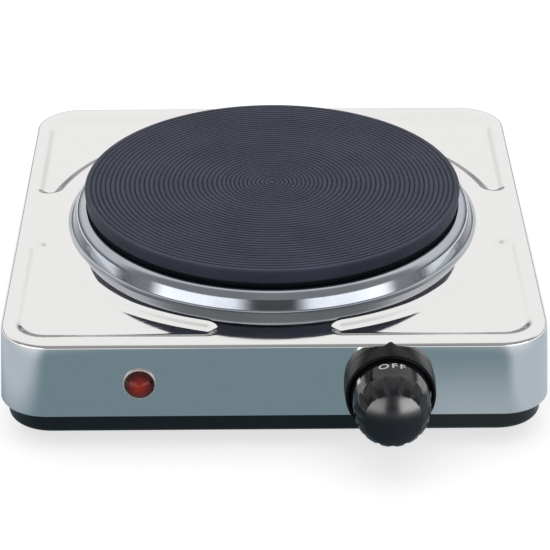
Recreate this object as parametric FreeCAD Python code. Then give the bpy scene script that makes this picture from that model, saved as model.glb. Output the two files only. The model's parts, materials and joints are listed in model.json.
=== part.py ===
import FreeCAD, Part
import math
import os

from FreeCAD import Placement, Rotation, Vector

# Single hot plate on a pressed steel box, in millimetres: +X right, +Y to the back, +Z up.
# Everything is built round the plate's axis with the table at z = 0, and at the end the whole
# object is moved along Y so that the middle of its box is over the origin.

# Cast iron plate
PLATE_R = 77.5
PLATE_EDGE = 5.4
PLATE_EDGE_DRAFT = 0.4
PLATE_CHAMFER = 0.9
NECK_INSET = 3.0
NECK_HEIGHT = 3.0
LOWER_INSET = 2.7
LOWER_HEIGHT = 5.0
COIL_WALL = 4.8
COIL_ROOM = 7.5
BOSS_R = 20.0
CAST_GAP = 0.05

# Rings turned into the plate's top: a finer field in the middle, a flat centre and a flat edge
GROOVE_WIDTH = 0.8
GROOVE_DEPTH = 0.4
CENTRE_FLAT_R = 1.25
CENTRE_FIELD_R = 20.5
CENTRE_PITCH = 1.75
OUTER_PITCH = 2.0
EDGE_LAND = 1.6

# Heating coil, its pins and the disc under it
COIL_WIRE_R = 2.0
COIL_START_R = 25.0
COIL_PITCH = 8.5
COIL_EDGE_ROOM = 4.0
COIL_SLOT_GAP = 0.1
COIL_COVERED = 1.0
PIN_R = 1.5
PIN_GAP = 0.05
PIN_DROP = 9.0
BEAD_R = 4.0
BEAD_NECK_R = 2.9
BEAD_HEIGHT = 5.0
COVER_SHEET = 0.6
COVER_RIM = 1.8

# Stud through the middle and what it clamps
STUD_R = 3.0
STUD_GAP = 0.1
STUD_END = 1.5
SPACER_R = 5.5
SPACER_HEIGHT = 8.4
WASHER_R = 8.0
WASHER_SHEET = 1.2
NUT_FLATS = 10.0
NUT_HEIGHT = 5.0

# Polished trim ring
RING_WIDTH = 7.2
RING_RISE = 7.7
RING_SEAT_DROP = 0.8
RING_SHEET = 0.5
RING_NECK_GAP = 1.5
RING_CREST_RUN = 1.0
RING_CREST_LIFT = 0.3
RING_BAND = 3.9
RING_LIP = 1.4
RING_BEND_R = 0.8
RING_SHOULDER_R = 4.6
RING_GAP = 0.4

# Pressed steel housing
SHEET = 0.6
HOUSING_HEIGHT = 30.35
SKIRT_FLARE = 1.5
CORNER_R = 19.0
TOP_ROLL = 1.5
BORDER = 2.8
DEPTH_EXTRA = 2.5
DECK_WIDTH = 7.3
HOLE_MARGIN = 5.6
COLLAR_DEPTH = 3.0
PAD_DEPTH = 2.0
PAD_SLOPE = 5.0
PAD_TIP_FLOOR_R = 0.4
PAD_TIP_FLAT = 1.35
PAD_GAP = 42.0
PAD_CORNER_R = 13.0

# Bridge strip and heat shield under the top
BRIDGE_WIDTH = 24.0
BRIDGE_SHEET = 1.5
BRIDGE_FLANGE = 12.0
BRIDGE_LEG_RUN = 4.0
BRIDGE_RING_GAP = 2.2
BRIDGE_BEND_R = 2.0
SHIELD_R = 74.0
SHIELD_SHEET = 0.6
SHIELD_RIM = 6.0
SHIELD_LEAD_HOLE_R = 5.0

# Black base pan, feet and the pillars that they are screwed to
BASE_SHOW = 8.9
BASE_LAP = 5.0
BASE_INSET = 2.6
BASE_SHEET = 0.8
BASE_EDGE_R = 2.0
VENT_LENGTH = 36.0
VENT_WIDTH = 3.0
VENT_PITCH = 9.0
VENT_ROWS = 5
FOOT_HEIGHT = 5.85
FOOT_R = 9.0
FOOT_TAPER = 1.0
FOOT_POCKET_R = 4.6
FOOT_POCKET = 4.0
PILLAR_INSET = 18.5
PILLAR_FLATS = 8.0
SCREW_R = 2.0
SCREW_GAP = 0.05
SCREW_GRIP = 9.0
SCREW_HEAD_R = 3.8
SCREW_HEAD = 2.4
HOLE_GAP = 0.2

# Places on the front panel, in from its right and left edges and up from the skirt's lower edge
KNOB_INSET = 61.1
KNOB_RISE = 12.3
LAMP_INSET = 53.4
LAMP_RISE = 14.1

# Knob and the fixed ring round it
BEZEL_R = 17.5
BEZEL_TAPER = 0.4
BEZEL_HEIGHT = 8.0
BEZEL_WALL = 1.4
BEZEL_FLOOR = 1.5
BEZEL_PEAK = 1.6
BEZEL_PEAK_HALF = 3.0
KNOB_GAP = 0.5
KNOB_SKIRT_SINK = 2.5
KNOB_SKIRT_SHOW = 0.8
KNOB_TAPER = 8.8
GRIP_R = 14.5
NOSE_LENGTH = 8.8
NOSE_INSET = 3.5
NOSE_BOW = 0.9
CAP_RISE = 3.0
FLUTES = 15
FLUTE_R = 1.3
FLUTE_LEAN = 25.8
FLUTE_LEAD = 1.1
KNOB_WALL = 2.3
BOSS_OUTER_R = 5.6
BOSS_GAP = 0.5

# Thermostat spindle, its bush and nut
SPINDLE_R = 3.0
SPINDLE_GAP = 0.04
SPINDLE_FLAT = 1.5
SPINDLE_TIP_GAP = 0.2
KNOB_GRIP = 10.6
CLIP_SHEET = 0.4
CLIP_GAP = 0.05
CLIP_WIDTH = 3.6
BUSH_R = 5.0
BUSH_FLANGE_R = 6.5
BUSH_FLANGE = 1.2
BUSH_PROUD = 0.6
BUSH_NUT_FLATS = 14.0
BUSH_NUT_HEIGHT = 2.7
CIRCLIP_R = 5.0
CIRCLIP_SHEET = 0.6
CIRCLIP_GROOVE = 0.4
END_PLAY = 0.1

# Stepped cam on the spindle, which pushes the contact leaf as the knob turns
CAM_R = 5.5
CAM_DISC = 1.9
CAM_STEPS = 6
CAM_TURN = 280.0
LEAF_TURN = 4.0
NIB_R = 0.6
NIB_REACH = 4.5
NIB_HEIGHT = 0.75
NIB_GAP = 0.1

# Thermostat frame and the stack of ceramic rings and blades on its rivet
FRAME_SHEET = 1.2
FRAME_HALF_HEIGHT = 6.0
FRAME_FREE_END = 8.0
STACK_REACH = 12.0
STACK_RIVET_R = 1.6
STACK_RIVET_HEAD_R = 3.0
STACK_RIVET_HEAD = 1.5
STACK_GAP = 0.05
INSULATOR_R = 3.5
FIRST_INSULATOR = 5.0
INSULATOR = 4.0
LAST_INSULATOR = 2.0
LEAF_SHEET = 0.4
LEAF_HALF_WIDTH = 3.0
LEAF_FREE_END = 9.0
LEAF_ROOT_GAP = 0.25
BIMETAL_SHEET = 1.0
BIMETAL_HALF_WIDTH = 4.0
BIMETAL_FREE_END = 11.0
LINK_R = 1.2
LINK_X = 3.0
CONTACT_R = 1.5
CONTACT_X = 7.0
LEAF_CONTACT = 1.6
SWITCH_CONTACT = 1.0
TAB_LENGTH = 12.0
TAB_HALF_WIDTH = 3.15

# Push-on connectors on the tabs
CONNECTOR_LENGTH = 9.5
CONNECTOR_HALF_WIDTH = 3.9
CONNECTOR_THICK = 2.4
CONNECTOR_LAP = 6.5
CONNECTOR_GAP = 0.05
BARREL_R = 1.9
BARREL_LENGTH = 5.0

# Pilot lamp
LENS_R = 5.6
LENS_DOME = 3.1
LENS_FLANGE = 0.9
LENS_WALL = 0.8
LENS_SKIRT = 5.0
LAMP_BEZEL_WALL = 0.6
LAMP_BEZEL_HEIGHT = 0.9
LAMP_BEZEL_FLOOR = 0.4
LAMP_GAP = 0.05
LAMP_TUBE_R = 5.2
LAMP_TUBE_WALL = 0.5
LAMP_DEPTH = 23.5
LAMP_BACK = 1.5
LAMP_CLIP_R = 8.5
LAMP_CLIP_SHEET = 0.6
BULB_R = 2.0
BULB_LENGTH = 10.0
BULB_BOSS_R = 2.3
BULB_BOSS = 6.0
RESISTOR_R = 1.0
RESISTOR_LENGTH = 6.0
RESISTOR_OFFSET = 3.5
LAMP_LEAD_OFFSET = 2.0

# Cord gland in the back wall
GLAND_INSET = 42.8
GLAND_RISE = 18.25
GLAND_BORE_R = 3.6
GLAND_GRIP = 6.5
GLAND_ENTRY_R = 4.4
GLAND_NECK_R = 6.9
GLAND_FLANGE_R = 9.0
GLAND_FLANGE = 3.0
GLAND_NOSE_R = 6.0
GLAND_NOSE = 4.0
GLAND_INNER_R = 8.4
GLAND_INNER = 6.4
GLAND_GAP = 0.1

# Terminal block on the pan's floor
BLOCK_ASIDE = 16.0
BLOCK_SETBACK = 32.3
BLOCK_DEPTH = 18.0
BLOCK_HEIGHT = 14.0
POLES = 4
POLE_PITCH = 10.0
BLOCK_END = 8.0
INSERT_R = 2.5
INSERT_BORE_R = 1.5
INSERT_SETBACK = 1.0
INSERT_GAP = 0.05
CLAMP_SCREW_R = 1.2
CLAMP_HEAD_R = 2.0
CLAMP_HEAD = 1.6
CLAMP_PITCH = 9.0
BLOCK_SCREW_R = 1.5
BLOCK_SCREW_HEAD_R = 2.8
BLOCK_SCREW_HEAD = 2.0

# Earth stud on the pan's floor
EARTH_INSET = 30.8
EARTH_AHEAD = 55.0
EARTH_STUD_R = 2.0
EARTH_STUD_HEIGHT = 9.0
EARTH_TAG_R = 4.2
EARTH_TAG_SHEET = 0.8
EARTH_TAG_REACH = 12.0
EARTH_NUT_FLATS = 7.0
EARTH_NUT_HEIGHT = 3.2

# Wiring
WIRE_R = 1.3
LEAD_R = 0.8
BEND_SHARE = 0.45

# Heights that follow from the sizes above
Z_BASE = FOOT_HEIGHT
Z_FLOOR = Z_BASE + BASE_SHEET
Z_SKIRT = Z_BASE + BASE_SHOW
Z_TOP = Z_SKIRT + HOUSING_HEIGHT
Z_UNDER_TOP = Z_TOP - SHEET
Z_SEAT = Z_TOP + RING_RISE - RING_SEAT_DROP
Z_RIM = Z_SEAT + NECK_HEIGHT
Z_PLATE = Z_RIM + PLATE_EDGE
Z_CAST = Z_SEAT - LOWER_HEIGHT
Z_CAVITY = Z_CAST + COIL_ROOM
Z_COVER = Z_CAST - COVER_SHEET
Z_BRIDGE = Z_COVER - SPACER_HEIGHT
Z_SHIELD = Z_BRIDGE - BRIDGE_SHEET
Z_WASHER = Z_SHIELD - SHIELD_SHEET
Z_NUT = Z_WASHER - WASHER_SHEET
Z_PIN_END = Z_COVER - PIN_DROP

# Radii and half widths that follow from the sizes above
NECK_R = PLATE_R - NECK_INSET
LOWER_R = NECK_R - LOWER_INSET
CAVITY_R = LOWER_R - COIL_WALL
RING_R = PLATE_R + RING_WIDTH
HOLE_R = RING_R - HOLE_MARGIN
PAD_ARC_R = RING_R + DECK_WIDTH
PAD_TIP_R = PAD_SLOPE + PAD_TIP_FLOOR_R
PAD_TIP_NEAR = PAD_GAP / 2 + PAD_TIP_R
PAD_TIP_FAR = math.sqrt((PAD_ARC_R + PAD_TIP_R) ** 2 - PAD_TIP_NEAR ** 2)
PAD_EDGE = PAD_TIP_FAR + PAD_TIP_FLAT + PAD_TIP_R
HALF_WIDTH = PAD_EDGE + BORDER + TOP_ROLL
HALF_DEPTH = HALF_WIDTH + DEPTH_EXTRA
PILLAR_AT = PAD_EDGE - PILLAR_INSET
KNOB_X = HALF_WIDTH - KNOB_INSET
LAMP_X = LAMP_INSET - HALF_WIDTH
GLAND_X = HALF_WIDTH - GLAND_INSET
BLOCK_X = GLAND_X - BLOCK_ASIDE
BLOCK_Y = HALF_DEPTH - BLOCK_SETBACK
EARTH_X = HALF_WIDTH - EARTH_INSET
EARTH_Y = BLOCK_Y - EARTH_AHEAD
TILT = math.degrees(math.atan2(SKIRT_FLARE, HOUSING_HEIGHT))
PANEL = SHEET * math.cos(math.radians(TILT))
PAST = 1.0

nodes = {}


def add(name, *solids):
    """Keep a node's solid, or its group of like solids, under the node's name."""
    nodes[name] = solids[0] if len(solids) == 1 else Part.makeCompound(list(solids))


def rod(radius, z0, z1, x=0.0, y=0.0):
    return Part.makeCylinder(radius, z1 - z0, Vector(x, y, z0))


def tube(outer, inner, z0, z1, x=0.0, y=0.0):
    return rod(outer, z0, z1, x, y).cut(rod(inner, z0 - PAST, z1 + PAST, x, y))


def block(x0, x1, y0, y1, z0, z1):
    return Part.makeBox(x1 - x0, y1 - y0, z1 - z0, Vector(x0, y0, z0))


def hexagon(flats, z0, z1, x=0.0, y=0.0):
    corner = flats / math.sqrt(3)
    turns = [math.radians(60 * k) for k in range(7)]
    ring = [Vector(x + corner * math.cos(a), y + corner * math.sin(a), z0) for a in turns]
    return Part.Face(Part.makePolygon(ring)).extrude(Vector(0, 0, z1 - z0))


def placed(shape, frame):
    """Copy of a shape moved from a local frame into the object's frame."""
    moved = shape.copy()
    moved.Placement = frame.multiply(moved.Placement)
    return moved


def fuse(shapes):
    whole = shapes[0]
    for shape in shapes[1:]:
        whole = whole.fuse(shape)
    return whole.removeSplitter()


def panel_reach(rise):
    """Distance from the plate's axis to the front or back wall, a rise above the skirt's lower edge."""
    return HALF_DEPTH + SKIRT_FLARE * (1 - rise / HOUSING_HEIGHT)


def front_frame(x, rise):
    """Frame on the front panel: x right, y up the panel, z straight out of it."""
    return Placement(Vector(x, -panel_reach(rise), Z_SKIRT + rise), Rotation(Vector(1, 0, 0), 90 - TILT))


def rear_frame(x, rise):
    """Frame on the back wall: y up the wall, z straight out of it."""
    turn = Rotation(Vector(0, 0, 1), 180).multiply(Rotation(Vector(1, 0, 0), 90 - TILT))
    return Placement(Vector(x, panel_reach(rise), Z_SKIRT + rise), turn)


def arc(centre, radius, start, end, z):
    """Arc in a level plane about centre, from one angle to the other in degrees."""
    def at(angle):
        a = math.radians(angle)
        return Vector(centre[0] + radius * math.cos(a), centre[1] + radius * math.sin(a), z)
    return Part.Arc(at(start), at((start + end) / 2), at(end)).toShape()


def chain(arcs):
    """Closed wire of arcs in order, with straight edges between their ends."""
    edges = []
    for index, edge in enumerate(arcs):
        start = edge.valueAt(edge.FirstParameter)
        before = arcs[index - 1]
        end = before.valueAt(before.LastParameter)
        if (start - end).Length > 1e-6:
            edges.append(Part.makeLine(end, start))
        edges.append(edge)
    return Part.Wire(edges)


def rounded_box(half_x, half_y, radius, z):
    """Level rounded rectangle about the axis."""
    x, y = half_x - radius, half_y - radius
    corners = [(x, y, 0), (-x, y, 90), (-x, -y, 180), (x, -y, 270)]
    return chain([arc((cx, cy), radius, turn, turn + 90, z) for cx, cy, turn in corners])


def corner_path(points, radii):
    """Edges through corner points, each inner corner rounded by its radius."""
    edges = []
    last = points[0]
    for before, corner, after, radius in zip(points, points[1:], points[2:], radii):
        d1 = (corner - before).normalize()
        d2 = (after - corner).normalize()
        half = d1.getAngle(d2) / 2
        start = corner - d1 * (radius * math.tan(half))
        end = corner + d2 * (radius * math.tan(half))
        inward = (d2 - d1).normalize()
        middle = corner + inward * (radius / math.cos(half) - radius)
        edges.append(Part.makeLine(last, start))
        edges.append(Part.Arc(start, middle, end).toShape())
        last = end
    edges.append(Part.makeLine(last, points[-1]))
    return edges


def strip(points, radii, sheet):
    """Section of a bent strip: its upper side runs along points (across, up), rounded by radii,
    and its lower side lies the sheet's thickness to the right of that run."""
    flat = [Vector(a, 0, b) for a, b in points]
    runs = [(q - p).normalize() for p, q in zip(flat, flat[1:])]
    rights = [Vector(run.z, 0, -run.x) for run in runs]
    lower = [flat[0] + rights[0] * sheet]
    inner_radii = []
    for n1, n2, r1, corner, radius in zip(rights, rights[1:], runs, flat[1:], radii):
        lower.append(corner + (n1 + n2) * (sheet / (1 + n1.dot(n2))))
        inner_radii.append(radius - sheet if n2.dot(r1) < 0 else radius + sheet)
    lower.append(flat[-1] + rights[-1] * sheet)
    top = corner_path(flat, radii)
    bottom = corner_path(lower, inner_radii)
    ends = [Part.makeLine(flat[0], lower[0]), Part.makeLine(flat[-1], lower[-1])]
    return Part.Face(Part.Wire(Part.__sortEdges__(top + bottom + ends)))


def turned(points):
    """Solid of revolution about the local z axis from a closed outline of (radius, height)."""
    ring = [Vector(r, 0, z) for r, z in points]
    return Part.Face(Part.makePolygon(ring + ring[:1])).revolve(Vector(), Vector(0, 0, 1), 360)


def route(points, radius):
    """Round wire along straight runs, with the largest tangent arcs that the runs allow."""
    bends = []
    for a, b, c in zip(points, points[1:], points[2:]):
        half = (b - a).getAngle(c - b) / 2
        bends.append(BEND_SHARE * min((b - a).Length, (c - b).Length) / math.tan(half))
    path = Part.Wire(corner_path(points, bends))
    end = Part.Wire(Part.makeCircle(radius, points[0], points[1] - points[0]))
    return path.makePipeShell([end], True, False)


# Cast iron plate: lands and grooves across the top, then the rim, neck, shoulder and coil channel
def hot_plate():
    outline = [(0, Z_PLATE), (CENTRE_FLAT_R, Z_PLATE)]
    edge = PLATE_R - PLATE_CHAMFER
    last = edge - EDGE_LAND - GROOVE_WIDTH
    r = CENTRE_FLAT_R
    while r <= last:
        outline += [(r, Z_PLATE), (r + GROOVE_WIDTH / 2, Z_PLATE - GROOVE_DEPTH)]
        outline.append((r + GROOVE_WIDTH, Z_PLATE))
        r += CENTRE_PITCH if r < CENTRE_FIELD_R else OUTER_PITCH
    outline += [(edge, Z_PLATE), (PLATE_R, Z_PLATE - PLATE_CHAMFER), (PLATE_R - PLATE_EDGE_DRAFT, Z_RIM)]
    outline += [(NECK_R, Z_RIM), (NECK_R, Z_SEAT), (LOWER_R, Z_SEAT), (LOWER_R, Z_CAST)]
    outline += [(CAVITY_R, Z_CAST), (CAVITY_R, Z_CAVITY), (BOSS_R, Z_CAVITY), (BOSS_R, Z_CAST)]
    outline += [(STUD_R + CAST_GAP, Z_CAST), (STUD_R + CAST_GAP, Z_CAVITY), (0, Z_CAVITY)]
    return turned([p for i, p in enumerate(outline) if p != outline[i - 1]])


# Coil: half turns about two centres in turn, so that each half turn is wider than the last
def coil_halves():
    step = COIL_PITCH / 2
    count = int((CAVITY_R - COIL_EDGE_ROOM - step - COIL_START_R) / step) + 1
    return [(COIL_START_R + k * step, step * (k % 2), 180.0 * (k % 2)) for k in range(count)]


def coil_end():
    radius, centre, turn = coil_halves()[-1]
    return centre - radius if turn == 0 else centre + radius


Z_COIL_FLOOR = Z_CAVITY - COIL_COVERED - 2 * COIL_WIRE_R
Z_COIL = Z_COIL_FLOOR + COIL_WIRE_R
LAST_HALF_UP = coil_halves()[-1][2] == 0
PIN_PLACES = [(COIL_START_R, -PIN_R - PIN_GAP),
              (coil_end(), (-1 if LAST_HALF_UP else 1) * (PIN_R + PIN_GAP))]


def heating_coil():
    halves = []
    for radius, centre, turn in coil_halves():
        half = Part.makeTorus(radius, COIL_WIRE_R, Vector(), Vector(0, 0, 1), 0, 360, 180)
        half.rotate(Vector(), Vector(0, 0, 1), turn)
        half.translate(Vector(centre, 0, Z_COIL))
        halves.append(half)
    return fuse(halves)


def coil_cement():
    body = tube(CAVITY_R - CAST_GAP, BOSS_R + CAST_GAP, Z_CAST, Z_CAVITY)
    half_slot = COIL_WIRE_R + COIL_SLOT_GAP
    for radius, centre, turn in coil_halves():
        slot = Part.makeCylinder(radius + half_slot, Z_CAVITY - Z_COIL_FLOOR + PAST, Vector(),
                                 Vector(0, 0, 1), 180)
        slot = slot.cut(rod(radius - half_slot, -PAST, Z_CAVITY))
        slot.rotate(Vector(), Vector(0, 0, 1), turn)
        slot.translate(Vector(centre, 0, Z_COIL_FLOOR))
        body = body.cut(slot)
    for x, y in PIN_PLACES:
        body = body.cut(rod(PIN_R + PIN_GAP, Z_CAST - PAST, Z_CAVITY + PAST, x, y))
    return body


def plate_cover():
    disc = tube(LOWER_R - COVER_RIM, STUD_R + STUD_GAP, Z_COVER, Z_CAST)
    for x, y in PIN_PLACES:
        disc = disc.cut(rod(BEAD_NECK_R + PIN_GAP, Z_COVER - PAST, Z_CAST + PAST, x, y))
    return disc


def pin_bead(x, y):
    bead = fuse([rod(BEAD_R, Z_COVER - BEAD_HEIGHT, Z_COVER, x, y), rod(BEAD_NECK_R, Z_COVER, Z_CAST, x, y)])
    return bead.cut(rod(PIN_R + PIN_GAP, Z_COVER - BEAD_HEIGHT - PAST, Z_CAST + PAST, x, y))


add("hot_plate", hot_plate())
add("heating_coil", heating_coil())
add("coil_cement", coil_cement())
add("plate_cover", plate_cover())
add("terminal_pins", *[rod(PIN_R, Z_PIN_END, Z_COIL + COIL_WIRE_R, x, y) for x, y in PIN_PLACES])
add("pin_beads", *[pin_bead(x, y) for x, y in PIN_PLACES])
add("centre_stud", rod(STUD_R, Z_NUT - NUT_HEIGHT - STUD_END, Z_CAVITY - CAST_GAP))
add("stud_spacer", tube(SPACER_R, STUD_R + STUD_GAP, Z_BRIDGE, Z_COVER))
add("stud_washer", tube(WASHER_R, STUD_R + STUD_GAP, Z_NUT, Z_WASHER))
add("stud_nut", hexagon(NUT_FLATS, Z_NUT - NUT_HEIGHT, Z_NUT).cut(
    rod(STUD_R + CAST_GAP, Z_NUT - NUT_HEIGHT - PAST, Z_NUT + PAST)))


# Trim ring: seat under the plate's shoulder, band, rounded shoulder and a narrow lip on the housing
def trim_ring():
    crest = NECK_R + RING_NECK_GAP + RING_CREST_RUN
    path = [(LOWER_R + RING_GAP, Z_SEAT), (NECK_R + RING_NECK_GAP, Z_SEAT)]
    path += [(crest, Z_TOP + RING_RISE + RING_CREST_LIFT), (crest + RING_BAND, Z_TOP + RING_RISE)]
    path += [(RING_R - RING_LIP, Z_TOP + RING_SHEET), (RING_R, Z_TOP + RING_SHEET)]
    radii = [RING_BEND_R, RING_BEND_R, RING_SHOULDER_R, RING_BEND_R]
    return strip(path, radii, RING_SHEET).revolve(Vector(), Vector(0, 0, 1), 360)


add("trim_ring", trim_ring())


# Housing: flared skirt with a rolled top edge, four pressed-in corner pads and a collared hole
def skirt_outline(z, inset):
    out = SKIRT_FLARE * (Z_TOP - z) / HOUSING_HEIGHT - inset
    return rounded_box(HALF_WIDTH + out, HALF_DEPTH + out, CORNER_R - inset, z)


def skirt_solid(z0, z1, inset):
    solid = Part.makeLoft([skirt_outline(z0, inset), skirt_outline(z1, inset)], True, True)
    rim = [e for e in solid.Edges if abs(e.BoundBox.ZMin - z1) < 1e-3 and e.BoundBox.ZLength < 1e-3]
    return solid.makeFillet(TOP_ROLL - inset, rim)


def pad_outline(inset, z):
    """One corner pad: arc round the plate, rounded ends, straight sides and a rounded corner."""
    tip = PAD_TIP_R - inset
    lean = math.degrees(math.atan2(PAD_TIP_FAR, PAD_TIP_NEAR))
    out = PAD_EDGE - PAD_TIP_R
    corner = PAD_EDGE - PAD_CORNER_R
    return chain([
        arc((0, 0), PAD_ARC_R + inset, 90 - lean, lean, z),
        arc((PAD_TIP_NEAR, PAD_TIP_FAR), tip, 180 + lean, 180, z),
        arc((PAD_TIP_NEAR, out), tip, 180, 90, z),
        arc((corner, corner), PAD_CORNER_R - inset, 90, 0, z),
        arc((out, PAD_TIP_NEAR), tip, 0, -90, z),
        arc((PAD_TIP_FAR, PAD_TIP_NEAR), tip, -90, -90 - lean, z),
    ])


def pads(lower):
    """The four recesses, as solids that reach a little past the surface that they are pressed into."""
    rise = PAST * PAD_DEPTH / PAD_SLOPE
    top = pad_outline(-PAST, Z_TOP + rise - lower)
    floor = pad_outline(PAD_SLOPE, Z_TOP - PAD_DEPTH - lower)
    recess = Part.makeLoft([top, floor], True, True)
    quarter = []
    for turn in (0, 90, 180, 270):
        copy = recess.copy()
        copy.rotate(Vector(), Vector(0, 0, 1), turn)
        quarter.append(copy)
    return quarter


def housing():
    inside = skirt_solid(Z_SKIRT - PAST, Z_UNDER_TOP, SHEET)
    shell = skirt_solid(Z_SKIRT, Z_TOP, 0.0)
    for recess in pads(SHEET):
        inside = inside.cut(recess)
    for recess in pads(0.0):
        shell = shell.cut(recess)
    shell = shell.cut(inside)
    shell = shell.fuse(tube(HOLE_R + SHEET, HOLE_R, Z_TOP - COLLAR_DEPTH, Z_TOP - SHEET / 2))
    shell = shell.cut(rod(HOLE_R, Z_TOP - COLLAR_DEPTH - PAST, Z_TOP + PAST))
    holes = [(front_frame(KNOB_X, KNOB_RISE), BUSH_R + HOLE_GAP),
             (front_frame(LAMP_X, LAMP_RISE), LAMP_TUBE_R + LAMP_GAP),
             (rear_frame(GLAND_X, GLAND_RISE), GLAND_NECK_R + GLAND_GAP)]
    for frame, radius in holes:
        shell = shell.cut(placed(rod(radius, -SHEET - PAST, PAST), frame))
    return shell.removeSplitter()


def bridge_bracket():
    foot = HOLE_R + SHEET + BRIDGE_RING_GAP + BRIDGE_LEG_RUN / 2
    knee = foot - BRIDGE_LEG_RUN
    tip = foot + BRIDGE_FLANGE
    path = [(-tip, Z_UNDER_TOP), (-foot, Z_UNDER_TOP), (-knee, Z_BRIDGE)]
    path += [(knee, Z_BRIDGE), (foot, Z_UNDER_TOP), (tip, Z_UNDER_TOP)]
    bar = strip(path, [BRIDGE_BEND_R + BRIDGE_SHEET] * 4, BRIDGE_SHEET).extrude(Vector(0, BRIDGE_WIDTH, 0))
    bar.translate(Vector(0, -BRIDGE_WIDTH / 2, 0))
    bar.rotate(Vector(), Vector(0, 0, 1), 90)
    return bar.cut(rod(STUD_R + STUD_GAP, Z_SHIELD - PAST, Z_BRIDGE + PAST))


def heat_shield():
    low = Z_SHIELD - SHIELD_RIM
    dish = rod(SHIELD_R, low, Z_SHIELD).cut(rod(SHIELD_R - SHIELD_SHEET, low - PAST, Z_WASHER))
    dish = dish.cut(rod(STUD_R + STUD_GAP, low, Z_SHIELD + PAST))
    for x, y in PIN_PLACES:
        dish = dish.cut(rod(SHIELD_LEAD_HOLE_R, low, Z_SHIELD + PAST, x, y))
    return dish


add("housing", housing())
add("bridge_bracket", bridge_bracket())
add("heat_shield", heat_shield())

# Base pan on four feet, screwed up into pillars under the corner pads
CORNERS = {"front_left": (-1, -1), "front_right": (1, -1), "rear_left": (-1, 1), "rear_right": (1, 1)}
POSTS = {name: (sx * PILLAR_AT, sy * PILLAR_AT) for name, (sx, sy) in CORNERS.items()}


def vent(x, y):
    half, radius = VENT_LENGTH / 2 - VENT_WIDTH / 2, VENT_WIDTH / 2
    slot = chain([arc((x + half, y), radius, -90, 90, Z_BASE - PAST),
                  arc((x - half, y), radius, 90, 270, Z_BASE - PAST)])
    return Part.Face(slot).extrude(Vector(0, 0, BASE_SHEET + 2 * PAST))


def pole_x(index):
    return BLOCK_X + (index - (POLES - 1) / 2) * POLE_PITCH


BLOCK_HALF = (POLES - 1) * POLE_PITCH / 2 + BLOCK_END
BLOCK_SCREW_XS = [BLOCK_X - BLOCK_HALF + BLOCK_END / 2 - INSERT_R / 2,
                  BLOCK_X + BLOCK_HALF - BLOCK_END / 2 + INSERT_R / 2]


def base_pan():
    half_x = HALF_WIDTH + SKIRT_FLARE - BASE_INSET
    half_y = HALF_DEPTH + SKIRT_FLARE - BASE_INSET
    radius = CORNER_R - BASE_INSET + SKIRT_FLARE
    height = BASE_SHOW + BASE_LAP

    def tray(inset, z, round_r):
        wire = rounded_box(half_x - inset, half_y - inset, radius - inset, z)
        solid = Part.Face(wire).extrude(Vector(0, 0, Z_BASE + height - z + inset))
        low = [e for e in solid.Edges if e.BoundBox.ZMax < z + 1e-3]
        return solid.makeFillet(round_r, low)

    pan = tray(0.0, Z_BASE, BASE_EDGE_R).cut(tray(BASE_SHEET, Z_FLOOR, BASE_EDGE_R - BASE_SHEET))
    for x, y in POSTS.values():
        pan = pan.cut(rod(SCREW_R + HOLE_GAP, Z_BASE - PAST, Z_FLOOR + PAST, x, y))
    for x in BLOCK_SCREW_XS:
        pan = pan.cut(rod(BLOCK_SCREW_R + SCREW_GAP, Z_BASE - PAST, Z_FLOOR + PAST, x, BLOCK_Y))
    for row in range(VENT_ROWS):
        y = (row - (VENT_ROWS - 1) / 2) * VENT_PITCH
        for side in (-1, 1):
            pan = pan.cut(vent(side * VENT_LENGTH, y))
    return pan


def foot(x, y):
    pad = Part.makeCone(FOOT_R - FOOT_TAPER, FOOT_R, FOOT_HEIGHT, Vector(x, y, 0))
    pad = pad.cut(rod(FOOT_POCKET_R, -PAST, FOOT_POCKET, x, y))
    return pad.cut(rod(SCREW_R + HOLE_GAP, -PAST, FOOT_HEIGHT + PAST, x, y))


def foot_screw(x, y):
    head = rod(SCREW_HEAD_R, FOOT_POCKET - SCREW_HEAD, FOOT_POCKET, x, y)
    return fuse([head, rod(SCREW_R, FOOT_POCKET, Z_FLOOR + SCREW_GRIP, x, y)])


def pillar(x, y):
    post = hexagon(PILLAR_FLATS, Z_FLOOR, Z_TOP - PAD_DEPTH - SHEET, x, y)
    return post.cut(rod(SCREW_R + SCREW_GAP, Z_FLOOR - PAST, Z_FLOOR + SCREW_GRIP + PAST, x, y))


add("base_pan", base_pan())
for corner, (post_x, post_y) in POSTS.items():
    add("foot_" + corner, foot(post_x, post_y))
add("foot_screws", *[foot_screw(x, y) for x, y in POSTS.values()])
add("corner_pillars", *[pillar(x, y) for x, y in POSTS.values()])

# Knob, bezel and thermostat, in the panel's frame with z out of the panel
KNOB_FRAME = front_frame(KNOB_X, KNOB_RISE)
Z_NUT_FRONT = BEZEL_FLOOR + BUSH_NUT_HEIGHT
Z_BUSH_FRONT = Z_NUT_FRONT + BUSH_PROUD
Z_CIRCLIP = Z_BUSH_FRONT + END_PLAY
Z_BOSS = Z_CIRCLIP + CIRCLIP_SHEET + BOSS_GAP
Z_SPINDLE_TIP = Z_BOSS + KNOB_GRIP
Z_SKIRT_BACK = BEZEL_HEIGHT - KNOB_SKIRT_SINK
Z_SKIRT_FRONT = BEZEL_HEIGHT + KNOB_SKIRT_SHOW
Z_NOSE = Z_SKIRT_FRONT + KNOB_TAPER
Z_CAP = Z_NOSE + NOSE_LENGTH
SKIRT_R = BEZEL_R - BEZEL_TAPER - BEZEL_WALL - KNOB_GAP
Z_FRAME_BACK = -PANEL - FRAME_SHEET
Z_BUSH_BACK = Z_FRAME_BACK - BUSH_FLANGE
Z_CAM = Z_BUSH_BACK - END_PLAY
Z_CAM_FACE = Z_CAM - CAM_DISC
CLIP_SIDE = SPINDLE_FLAT + CLIP_SHEET + 2 * CLIP_GAP


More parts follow.
